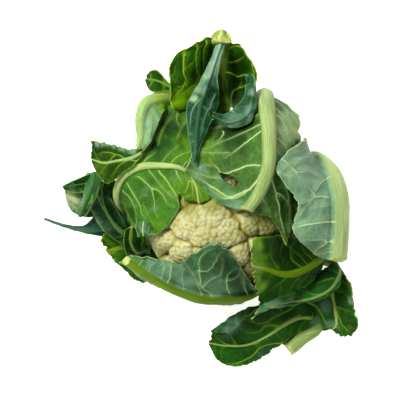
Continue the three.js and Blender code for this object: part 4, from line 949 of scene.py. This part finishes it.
# A live brassica leaf: green cells under a skin of wax that grew thickest on the back, so that side is a dull
# blue-green and the upper side a deep satin green.
def waxedLeafSkin(name, leaf):
    material, tree = newMaterial(name)
    read = {key: addNode(tree, "Attribute", output=2, attribute_name=key) for key in (
        "backFace", "waxy", "youngAndPaintedLight", "paintedShade", "pale", "dull", "rimGap", "veinSide", "veinHalf", "veinNear",
        "ribCross", "alongRib", "acrossRib", "cutFace")}
    paint = {key: linearColour(value) for key, value in leafSkin.items() if isinstance(value, str)}
    coords = addNode(tree, "TexCoord", output=3)
    blotch = addNode(tree, "TexNoise", {"Vector": coords, "Scale": leafSkin["blotch"], "Detail": 5.0})
    patch = addNode(tree, "TexNoise", {"Vector": coords, "Scale": leafSkin["patch"], "Detail": 3.0})
    grain = addNode(tree, "TexNoise", {"Vector": coords, "Scale": leafSkin["grain"], "Detail": 3.0})

    # Net of small veins in two sizes of mesh, its lines bent by noise.
    bend = {"Vector": coords, "Scale": leafSkin["netBend"], "Detail": 2.0}
    warp = addNode(tree, "TexNoise", bend, output=1)
    sway = addNode(tree, "VectorMath", {0: warp, "Scale": 0.006}, operation="SCALE")
    bent = addNode(tree, "VectorMath", [coords, sway], operation="ADD")
    lines = []
    for size, width, strength in (("wideNet", 0.07, 0.7), ("fineNet", 0.12, 0.5)):
        mesh = {"Vector": bent, "Scale": leafSkin[size]}
        edge = addNode(tree, "TexVoronoi", mesh, feature="DISTANCE_TO_EDGE")
        lines.append(addNode(tree, "MapRange", [edge, 0.0, width, strength, 0.0], **eased))
    net = addNode(tree, "Math", lines, operation="MAXIMUM")

    # The blade from its cells outwards: greens, wax in patches, the tints (young yellow-green that is partly
    # painted light through the blade, painted shade, pale), its rim and the net.
    cells = addNode(tree, "MapRange", [blotch, 0.38, 0.64, 0.0, 1.0], **eased)
    upper = layColours(tree, linearColour(leaf["upper"]), [(cells, linearColour(leaf["upper"], 0.76))])
    cells = addNode(tree, "MapRange", [blotch, 0.36, 0.64, 0.0, 1.0], **eased)
    bloom = layColours(tree, linearColour(leaf["back"]), [(cells, linearColour(leaf["back"], 0.83))])
    waxPatch = addNode(tree, "MapRange", [patch, 0.5, 0.72, 0.0, 0.16], **eased)
    waxPatch = addNode(tree, "Math", [waxPatch, read["backFace"]], **product)
    wax = addNode(tree, "Math", [read["waxy"], 0.7, waxPatch], operation="MULTIPLY_ADD")
    veinColour = layColours(tree, linearColour(leaf["vein"]), [(read["dull"], paint["dullVein"])])
    # The rim turns yellow-green under the young tint, which is partly painted light through the blade.
    rimColour = layColours(tree, veinColour, [(read["youngAndPaintedLight"], paint["youngAndLitRim"])])
    # The net of small veins fades where shade is painted.
    netShare = addNode(tree, "MapRange", [read["paintedShade"], 0.0, 0.8, 0.2, 0.05], **eased)
    skin = layColours(tree, upper, [
        (read["backFace"], bloom),
        (wax, paint["wax"]),
        # young yellow-green tissue, partly painted light shining through the blade
        (addNode(tree, "Math", [read["youngAndPaintedLight"], 0.9], **product), paint["youngAndPaintedLight"]),
        # painted shade: dark green where the blades lie in shadow, under curls, in cups and folds
        (addNode(tree, "Math", [read["paintedShade"], 0.93], **product), paint["paintedShade"]),
        (addNode(tree, "Math", [read["pale"], 0.9], **product), paint["pale"]),
        (addNode(tree, "MapRange", [patch, 0.3, 0.5, 0.22, 0.0], **eased), linearColour(leaf["upper"], 0.6)),
        (addNode(tree, "MapRange", [read["rimGap"], 0.3, 1.5, 0.6, 0.0], **eased), rimColour),
        (addNode(tree, "Math", [net, netShare], **product), veinColour)])

    # Veins: a soft halo of vein colour, a line of painted shade where the blade swells beside them, then the
    # pale line. Widths in mm.
    fromAxis = addNode(tree, "Math", [read["veinSide"]], operation="ABSOLUTE")
    offVein = addNode(tree, "Math", [fromAxis, read["veinHalf"]], operation="SUBTRACT")
    fromShade = addNode(tree, "Math", [offVein, 0.7], operation="SUBTRACT")
    fromShade = addNode(tree, "Math", [fromShade], operation="ABSOLUTE")
    strength = addNode(tree, "MapRange", [read["veinHalf"], 0.0, 0.5, 0.0, 0.85], **eased)
    for gap, low, high, most, nearFrom, nearTo, thick, colour in (
            (offVein, 0.0, 2.4, 0.14, 0.2, 0.7, 1.0, veinColour),
            (fromShade, 0.0, 0.7, 0.3, 0.3, 0.7, strength, linearColour(leaf["upper"], 0.7)),
            (offVein, -0.35, 0.25, 1.0, 0.45, 0.7, strength, veinColour)):
        share = addNode(tree, "MapRange", [gap, low, high, most, 0.0], **eased)
        near = addNode(tree, "MapRange", [read["veinNear"], nearFrom, nearTo, 0.0, 1.0], **eased)
        share = addNode(tree, "Math", [share, near], **product)
        skin = layColours(tree, skin, [(addNode(tree, "Math", [share, thick], **product), colour)])

    # Midrib: water-filled fibres in long strands under a smooth pale skin, darker towards the blade: greener
    # flanks, with painted shade where its round sides turn from the light.
    fibre = addNode(tree, "CombineXYZ", [read["alongRib"], read["acrossRib"]])
    fibre = addNode(tree, "Mapping", {"Vector": fibre, "Scale": (0.03, 1.0, 1.0)})
    strands = addNode(tree, "TexNoise", {"Vector": fibre, "Scale": 1.3, "Detail": 3.0})
    strandShare = addNode(tree, "MapRange", [strands, 0.36, 0.64, 0.0, 1.0], **eased)
    fromMiddle = addNode(tree, "Math", [read["ribCross"]], operation="ABSOLUTE")
    flankGreenAndShade = addNode(tree, "MapRange", [fromMiddle, 0.35, 0.95, 0.0, 0.5], **eased)
    waxedRib = addNode(tree, "Math", [read["waxy"], read["dull"]], **product)
    rib = layColours(tree, linearColour(leaf["rib"]), [
        (strandShare, linearColour(leaf["rib"], 0.84)),
        (addNode(tree, "Math", [read["dull"], 0.9], **product), paint["dullRib"]),
        # yellow midrib under the young tint, partly painted light
        (addNode(tree, "Math", [read["youngAndPaintedLight"], 0.65], **product), paint["youngAndLitRib"]),
        (addNode(tree, "Math", [read["pale"], 0.8], **product), paint["paleRib"]),
        (addNode(tree, "Math", [waxedRib, 0.8], **product), paint["waxedRib"]),
        (flankGreenAndShade, linearColour(leaf["rib"], 0.66))])

    # Knife cut: wet flesh with the cut ends of the fibres.
    fleshShare = addNode(tree, "MapRange", [grain, 0.35, 0.65, 0.0, 1.0], **eased)
    flesh = layColours(tree, paint["flesh"], [(fleshShare, paint["fibreEnds"])])
    onRib = addNode(tree, "MapRange", [fromMiddle, 0.8, 0.995, 1.0, 0.0], **eased)
    skin = layColours(tree, skin, [(onRib, rib), (read["cutFace"], flesh)])

    relief = addNode(tree, "Math", [strands, 0.8, grain], operation="MULTIPLY_ADD")
    relief = addNode(tree, "Math", [net, 0.8, relief], operation="MULTIPLY_ADD")
    bump = addNode(tree, "Bump", {"Height": relief, "Strength": 0.7, "Distance": 0.0006})
    shader = addNode(tree, "BsdfPrincipled", {
        "Base Color": skin, "Roughness": leaf["gloss"], "IOR": 1.42, "Specular IOR Level": 0.16,
        "Normal": bump, "Subsurface Weight": 0.06, "Subsurface Radius": (0.001, 0.002, 0.0005),
        "Subsurface Scale": 1.0, "Sheen Weight": 0.01, "Sheen Roughness": 0.4,
        "Sheen Tint": linearColour("#C6DCC8")})
    addNode(tree, "OutputMaterial", [shader])
    return material


# The head, in mm: lobes on a dome, on them granules, on them small knobs. A lobe is x, y on the plan sheet,
# reach and the branch that it grows on: deep clefts part the branches, shallow seams the lobes of one branch.
head = dict(
    middle=(221, 213), radius=78, rise=66,
    level=58,  # height of the dome's widest ring
    rings=168, lowest=97,  # mesh rings, and how many degrees down they reach
    lobeDepth=12, cleft=1.9, cleftWidth=0.34, seam=0.8, seamWidth=0.22, lobeSway=2.5,
    granule=5.0, granuleLift=0.44, granuleMelt=0.3, granuleJitter=0.9,
    knob=2.2, knobLift=0.14, knobMelt=0.06, knobJitter=0.4,
    foot=34.3, neckRadius=22.5,  # where the underside meets the stalk
    underRows=14, underSides=90, underBulge=1.15, underTaper=0.88, neckAt=0.87, inset=3.5, underWave=1.5,
    lobes=[
        (186, 222, 25, 1), (212, 214, 26, 1), (204, 236, 23, 1), (229, 233, 21, 1), (160, 243, 14, 5),
        (180, 255, 17, 5), (199, 258, 13, 5), (251, 221, 17, 4), (272, 226, 15, 4), (262, 206, 15, 4),
        (240, 257, 15, 6), (253, 276, 13, 7), (238, 198, 18, 3), (176, 200, 18, 8), (198, 190, 18, 8),
        (222, 180, 20, 9), (256, 182, 20, 9), (158, 216, 15, 10), (154, 190, 20, 10), (180, 166, 20, 11),
        (206, 150, 20, 11), (238, 150, 20, 12), (270, 162, 20, 12), (288, 200, 16, 13), (284, 246, 17, 14),
        (262, 252, 13, 14), (224, 262, 15, 15), (222, 284, 16, 15), (196, 281, 16, 16), (168, 272, 15, 16),
    ],
    # Painted shade in olive, where leaves shade the florets and where they turn from the light: x, y, reach,
    # amount.
    paintedCurdShade=[(274, 224, 17, 0.9), (258, 214, 14, 0.6), (250, 230, 12, 0.35), (214, 198, 16, 1.0),
           (186, 204, 12, 1.0), (236, 206, 12, 0.45), (250, 276, 12, 0.7), (172, 220, 7, 0.4),
           (158, 254, 10, 0.3), (246, 240, 6, 0.4)],
)


# Centres spread evenly over the dome by the golden angle, each with its own reach and tone.
def sprinkle(pitch, jitter, seed):
    drop = 1.14  # radii from the dome's top to the lowest centre
    area = 2 * math.pi * head["radius"] ** 2 * 1.12
    count = int(area / (0.87 * pitch ** 2))
    rng = np.random.default_rng(seed)
    i = np.arange(count)
    z = 1 - drop * (i + 0.5) / count
    turn = i * math.pi * (3 - math.sqrt(5))
    r = np.sqrt(1 - z * z)
    points = np.stack([r * np.cos(turn), r * np.sin(turn), z], axis=1)
    points += rng.normal(0, jitter / head["radius"], points.shape)
    reach = pitch * rng.uniform(0.56, 0.8, count)
    return points / np.linalg.norm(points, axis=1, keepdims=True), reach, rng.uniform(0, 1, count)


# Round bumps that melt into one another: their height in mm, and the nearest bump's own tone.
def bumps(directions, kind, seed):
    pitch, lift, melt = head[kind], head[kind + "Lift"], head[kind + "Melt"]
    centres, reach, tone = sprinkle(pitch, head[kind + "Jitter"], seed)
    nearby = kdtree.KDTree(len(centres))
    for i, centre in enumerate(centres):
        nearby.insert(centre, i)
    nearby.balance()
    found = [nearby.find_n(direction, 6) for direction in directions]
    which = np.array([[i for _, i, _ in row] for row in found])
    gap = np.array([[far for _, _, far in row] for row in found]) * head["radius"]
    each = lift * reach[which] * (1 - (gap / reach[which]) ** 2)
    highest = each.max(axis=1)
    height = highest + melt * np.log(np.exp((each - highest[:, None]) / melt).sum(axis=1))
    return height, height / (0.7 * pitch * lift), tone[which[np.arange(len(each)), each.argmax(axis=1)]]


# Directions on the dome in rings, six more to each, and the faces between them.
def domeGrid():
    directions, faces = [(0.0, 0.0, 1.0)], []
    for ring in range(1, head["rings"] + 1):
        theta = math.radians(head["lowest"] * ring / head["rings"])
        turn = 2 * math.pi * np.arange(6 * ring) / (6 * ring)
        directions += list(zip(np.sin(theta) * np.cos(turn), np.sin(theta) * np.sin(turn),
                               np.full(6 * ring, math.cos(theta))))
    for ring in range(head["rings"]):
        inner = 1 + 3 * ring * (ring - 1) if ring else 0
        outer = 1 + 3 * ring * (ring + 1)
        for sector in range(6):
            for k in range(ring + 1):
                a = outer + sector * (ring + 1) + k
                b = outer + (sector * (ring + 1) + k + 1) % (6 * (ring + 1))
                c = inner + (sector * ring + k) % max(1, 6 * ring)
                faces.append((c, a, b))
                if k < ring:
                    faces.append((c, b, inner + (sector * ring + k + 1) % (6 * ring)))
    return np.array(directions), faces


# How far each place on the plan is from its lobe's middle, how deep in a cleft and in a seam, all 0 to 1.
def lobesAt(plan):
    flat = np.column_stack([plan, np.zeros(len(plan))])
    sway = head["lobeSway"] * np.stack([softNoise(flat, 9, 0.5), softNoise(flat, 9, 7.5)], axis=1)
    gaps = np.stack([np.hypot(*(plan + sway - (x, y)).T) / (1.15 * reach)
                     for x, y, reach, _ in head["lobes"]])
    branch = np.array([lobe[3] for lobe in head["lobes"]])
    order = np.argsort(gaps, axis=0)
    first, second = np.take_along_axis(gaps, order[:2], axis=0)
    first = np.minimum(first, 1)
    other = np.where(branch[:, None] == branch[order[0]][None, :], 9.0, gaps).min(axis=0)
    cleft = np.clip(1 - (other - first) / head["cleftWidth"], 0, 1) ** 1.5
    seam = np.clip(1 - (second - first) / head["seamWidth"], 0, 1) ** 1.5
    return first, cleft, seam


# The underside closes the florets down to the stalk.
def undersideRows():
    turn = 2 * math.pi * np.arange(head["underSides"]) / head["underSides"]
    rows = []
    for share in np.arange(head["underRows"] + 1) / head["underRows"]:
        drop = 0.08 + 0.92 * share
        low = head["level"] - (head["level"] - head["foot"]) * min(1, drop * head["underBulge"])
        if drop > head["neckAt"]:
            radius = math.sqrt(max(0, 1 - drop ** 2) / (1 - head["neckAt"] ** 2)) * head["neckRadius"]
        else:
            radius = head["radius"] * (1 - drop ** 1.6 * head["underTaper"])
        wave = head["underWave"] * np.sin(turn * 9) * min(1, radius / 40)
        radius = np.maximum(radius - head["inset"] + wave, 0.5)
        rows.append(np.stack([radius * np.cos(turn), radius * np.sin(turn), np.full(len(turn), low)], axis=1))
    return rows


def headMesh():
    directions, faces = domeGrid()
    granules, granuleCrown, tone = bumps(directions, "granule", 4)
    knobs, knobCrown, _ = bumps(directions, "knob", 5)
    x, y = directions[:, 0] * head["radius"], directions[:, 1] * head["radius"]
    plan = np.stack([head["middle"][0] + x, head["middle"][1] - y], axis=1)
    lobe, cleft, seam = lobesAt(plan)
    dip = head["lobeDepth"] * (1 - np.sqrt(1 - lobe ** 2)) + head["cleft"] * cleft + head["seam"] * seam
    dip *= np.clip(directions[:, 2] * 4, 0, 1)  # no lobes at the widest ring
    top = head["granuleLift"] * 0.8 * head["granule"] + head["knobLift"] * 0.8 * head["knob"]
    fall = np.clip(top - granules - knobs, 0, 6)
    r = 1 - (dip + fall) / head["radius"]
    under = (head["level"] - head["foot"]) * head["underBulge"]
    height = directions[:, 2] * np.where(directions[:, 2] >= 0, head["rise"] * r, under)
    dome = np.stack([x * r, y * r, head["level"] + height], axis=1)
    rows = undersideRows()
    around = head["underSides"]
    for i in range(len(rows) - 1):
        for k in range(around):
            a = len(dome) + i * around + k
            b = len(dome) + i * around + (k + 1) % around
            faces.append((a, a + around, b + around, b))
    verts = np.concatenate([dome] + rows)
    verts += (head["middle"][0] - sheetAxis[0], sheetAxis[1] - head["middle"][1], 0)
    # Painted shade on the florets from the spots above; the underside gets it too.
    paintedCurdShade = np.zeros(len(plan))
    for spotX, spotY, reach, amount in head["paintedCurdShade"]:
        gap = np.hypot(plan[:, 0] - spotX, plan[:, 1] - spotY)
        paintedCurdShade = np.maximum(paintedCurdShade, amount * np.exp(-(gap / reach) ** 4))

    def fill(amounts, value):  # value is the underside's
        return np.concatenate([amounts, np.full(len(verts) - len(amounts), value)])

    return verts * mm, faces, {
        # crevice values: painted shade in the hollows, full on the underside
        "lobeDip": fill(lobe ** 2, 1.0), "lobeCleft": fill(np.maximum(cleft, 0.4 * seam), 1.0),
        "granuleCrown": fill(granuleCrown, 0.2), "knobCrown": fill(knobCrown, 0.3),
        "granuleTone": fill(tone, 0.5), "paintedCurdShade": fill(paintedCurdShade, 0.8)}


# Curd: packed flower buds, grown without light, so matt, a little see-through, cream on the crowns, with
# olive painted shade between them and in the clefts. Noise scales are blotches of 17 mm and a bud grain of
# 1.1 mm.
def curdBuds():
    material, tree = newMaterial("curd_florets")
    read = {key: addNode(tree, "Attribute", output=2, attribute_name=key) for key in (
        "granuleTone", "granuleCrown", "knobCrown", "lobeDip", "lobeCleft", "paintedCurdShade")}
    coords = addNode(tree, "TexCoord", output=3)
    blotch = addNode(tree, "TexNoise", {"Vector": coords, "Scale": 60.0, "Detail": 4.0})
    grain = addNode(tree, "TexNoise", {"Vector": coords, "Scale": 900.0, "Detail": 3.0})
    # Each layer: the value it follows, its range, the layer's share at both ends, its colour.
    layers = [(addNode(tree, "MapRange", [value, low, high, atLow, atHigh], **method), linearColour(colour))
              for value, low, high, atLow, atHigh, method, colour in (
                  (blotch, 0.35, 0.7, 0.0, 1.0, eased, "#BCBA8A"),
                  (read["granuleTone"], 0.0, 1.0, 0.0, 0.25, {}, "#BCBA80"),
                  # painted shade in olive between granules and knobs, at the lobes' edges and in the clefts
                  (read["granuleCrown"], 0.3, 0.95, 0.5, 0.0, eased, "#AAA548"),
                  (read["knobCrown"], 0.3, 0.95, 0.16, 0.0, eased, "#98953E"),
                  (read["lobeDip"], 0.5, 1.0, 0.0, 0.35, eased, "#8A8812"),
                  (read["lobeCleft"], 0.15, 0.9, 0.0, 0.7, eased, "#96860E"),
                  # painted shade where leaves shade the florets
                  (read["paintedCurdShade"], 0.0, 1.0, 0.0, 0.7, {}, "#7F8410"))]
    colour = layColours(tree, linearColour("#CBCAA6"), layers)
    bump = addNode(tree, "Bump", {"Height": grain, "Strength": 0.25, "Distance": 0.0005})
    shader = addNode(tree, "BsdfPrincipled", {
        "Base Color": colour, "Roughness": 0.6, "IOR": 1.4, "Normal": bump, "Specular IOR Level": 0.3,
        "Subsurface Weight": 0.75, "Subsurface Radius": (0.006, 0.005, 0.002), "Subsurface Scale": 1.0})
    addNode(tree, "OutputMaterial", [shader])
    return material


# The stalk's stump in mm: radius and height from the knife cut up, with seven shallow flutes round it.
stalk = dict(
    profile=[(0, 0.05), (8, 0.05), (14, 0.05), (19.6, 0.05), (20.6, 0.6), (21, 1.6), (21, 5), (21, 9),
             (21.6, 13), (22.3, 18), (22.5, 24), (22.5, 33.5), (12, 34), (0, 34)],
    cutRows=4, sides=96, flute=0.4, flutes=7,
)


def stalkMesh():
    around = stalk["sides"]
    verts, faces, cut = [], [], []
    for i, (radius, z) in enumerate(stalk["profile"]):
        for k in range(around):
            turn = 2 * math.pi * k / around
            groove = stalk["flute"] * (1 + math.sin(stalk["flutes"] * turn + z / 9)) if radius > 15 else 0
            r = max(radius - groove, 0.01)
            verts.append((r * math.cos(turn), r * math.sin(turn), z))
            cut.append(float(i < stalk["cutRows"]))
    for i in range(len(stalk["profile"]) - 1):
        for k in range(around):
            a, b = i * around + k, i * around + (k + 1) % around
            faces.append((a, b, b + around, a + around))
    return np.array(verts) * mm, faces, {"knifeCut": cut}


# Stem: tough pale green skin over long fibres, satin, and below it the moist pith that the knife laid open.
# The fibres are 2 mm wide and eight times as long.
def stemSkin():
    material, tree = newMaterial("stalk_skin")
    coords = addNode(tree, "TexCoord", output=3)
    stretched = addNode(tree, "Mapping", {"Vector": coords, "Scale": (1.0, 1.0, 0.12)})
    fibres = addNode(tree, "TexNoise", {"Vector": stretched, "Scale": 500.0, "Detail": 3.0})
    cut = addNode(tree, "Attribute", output=2, attribute_name="knifeCut")
    colour = layColours(tree, linearColour("#C3CF96"), [
        (addNode(tree, "MapRange", [fibres, 0.3, 0.7, 0.0, 1.0], **eased), linearColour("#A3B873")),
        (cut, linearColour("#DCDDB4"))])
    bump = addNode(tree, "Bump", {"Height": fibres, "Strength": 0.4, "Distance": 0.0006})
    shader = addNode(tree, "BsdfPrincipled", {
        "Base Color": colour, "Roughness": 0.5, "IOR": 1.4, "Normal": bump})
    addNode(tree, "OutputMaterial", [shader])
    return material


verts, faces, values = stalkMesh()
addPiece("stalk_fine", verts, faces, values, stemSkin(), ["stalk"])
verts, faces, values = headMesh()
addPiece("curd_fine", verts, faces, values, curdBuds(), ["curd"])
print("stalk and head built", len(faces))
for name, leaf in leaves.items():
    verts, faces, values = leafMesh(leaf)
    skin = waxedLeafSkin(name + "_skin", leaf)
    addPiece(name + "_fine", verts, faces.tolist(), values, skin, [name])
    print(name, len(faces))
print("leaves built")

# Studio: pale floor with a slight glow against hard shadows, soft light from back left, camera overhead.
studio = dict(
    floor="#FAFAF8", glow=0.72, sky=0.24, look="Medium High Contrast",
    key=dict(power=60, size=0.9, place=(-1.1, 1.0, 1.9)),
    fill=dict(power=8, size=2.0, place=(0.2, -1.5, 1.7)),
    aim=(0, 0, 0.06),
    cameraPlace=(-0.025, 0.005, 6.0), sharpAt=0.07, view=0.4,  # height and width of what the picture spans
)


def areaLight(name, power, size, place):
    data = bpy.data.lights.new(name, "AREA")
    data.energy = power
    data.size = size
    light = bpy.data.objects.new(name, data)
    light.location = place
    light.rotation_euler = (Vector(studio["aim"]) - Vector(place)).to_track_quat("-Z", "Y").to_euler()
    bpy.context.scene.collection.objects.link(light)


# Paper: matt pressed fibres, near white.
def floorPaper():
    material, tree = newMaterial("floor_paper")
    shader = addNode(tree, "BsdfPrincipled", {
        "Base Color": linearColour(studio["floor"]), "Roughness": 0.8,
        "Emission Color": linearColour(studio["floor"]), "Emission Strength": studio["glow"]})
    addNode(tree, "OutputMaterial", [shader])
    return material


bpy.ops.mesh.primitive_plane_add(size=6, location=(0, 0, 0))
floor = bpy.context.object
floor.name = "studio_floor"
floor.data.materials.append(floorPaper())
areaLight("key_light", **studio["key"])
areaLight("fill_light", **studio["fill"])
world = bpy.data.worlds.new("studio_world")
bpy.context.scene.world = world
world.use_nodes = True
world.node_tree.nodes["Background"].inputs["Color"].default_value = (1, 1, 1, 1)
world.node_tree.nodes["Background"].inputs["Strength"].default_value = studio["sky"]
bpy.context.scene.view_settings.view_transform = "Standard"
bpy.context.scene.view_settings.look = studio["look"]

camera = bpy.data.objects.new("camera_above", bpy.data.cameras.new("camera_above"))
camera.location = studio["cameraPlace"]
camera.data.sensor_width = 36
camera.data.lens = 36 * (studio["cameraPlace"][2] - studio["sharpAt"]) / studio["view"]
bpy.context.scene.collection.objects.link(camera)
bpy.context.scene.camera = camera
print("studio built")
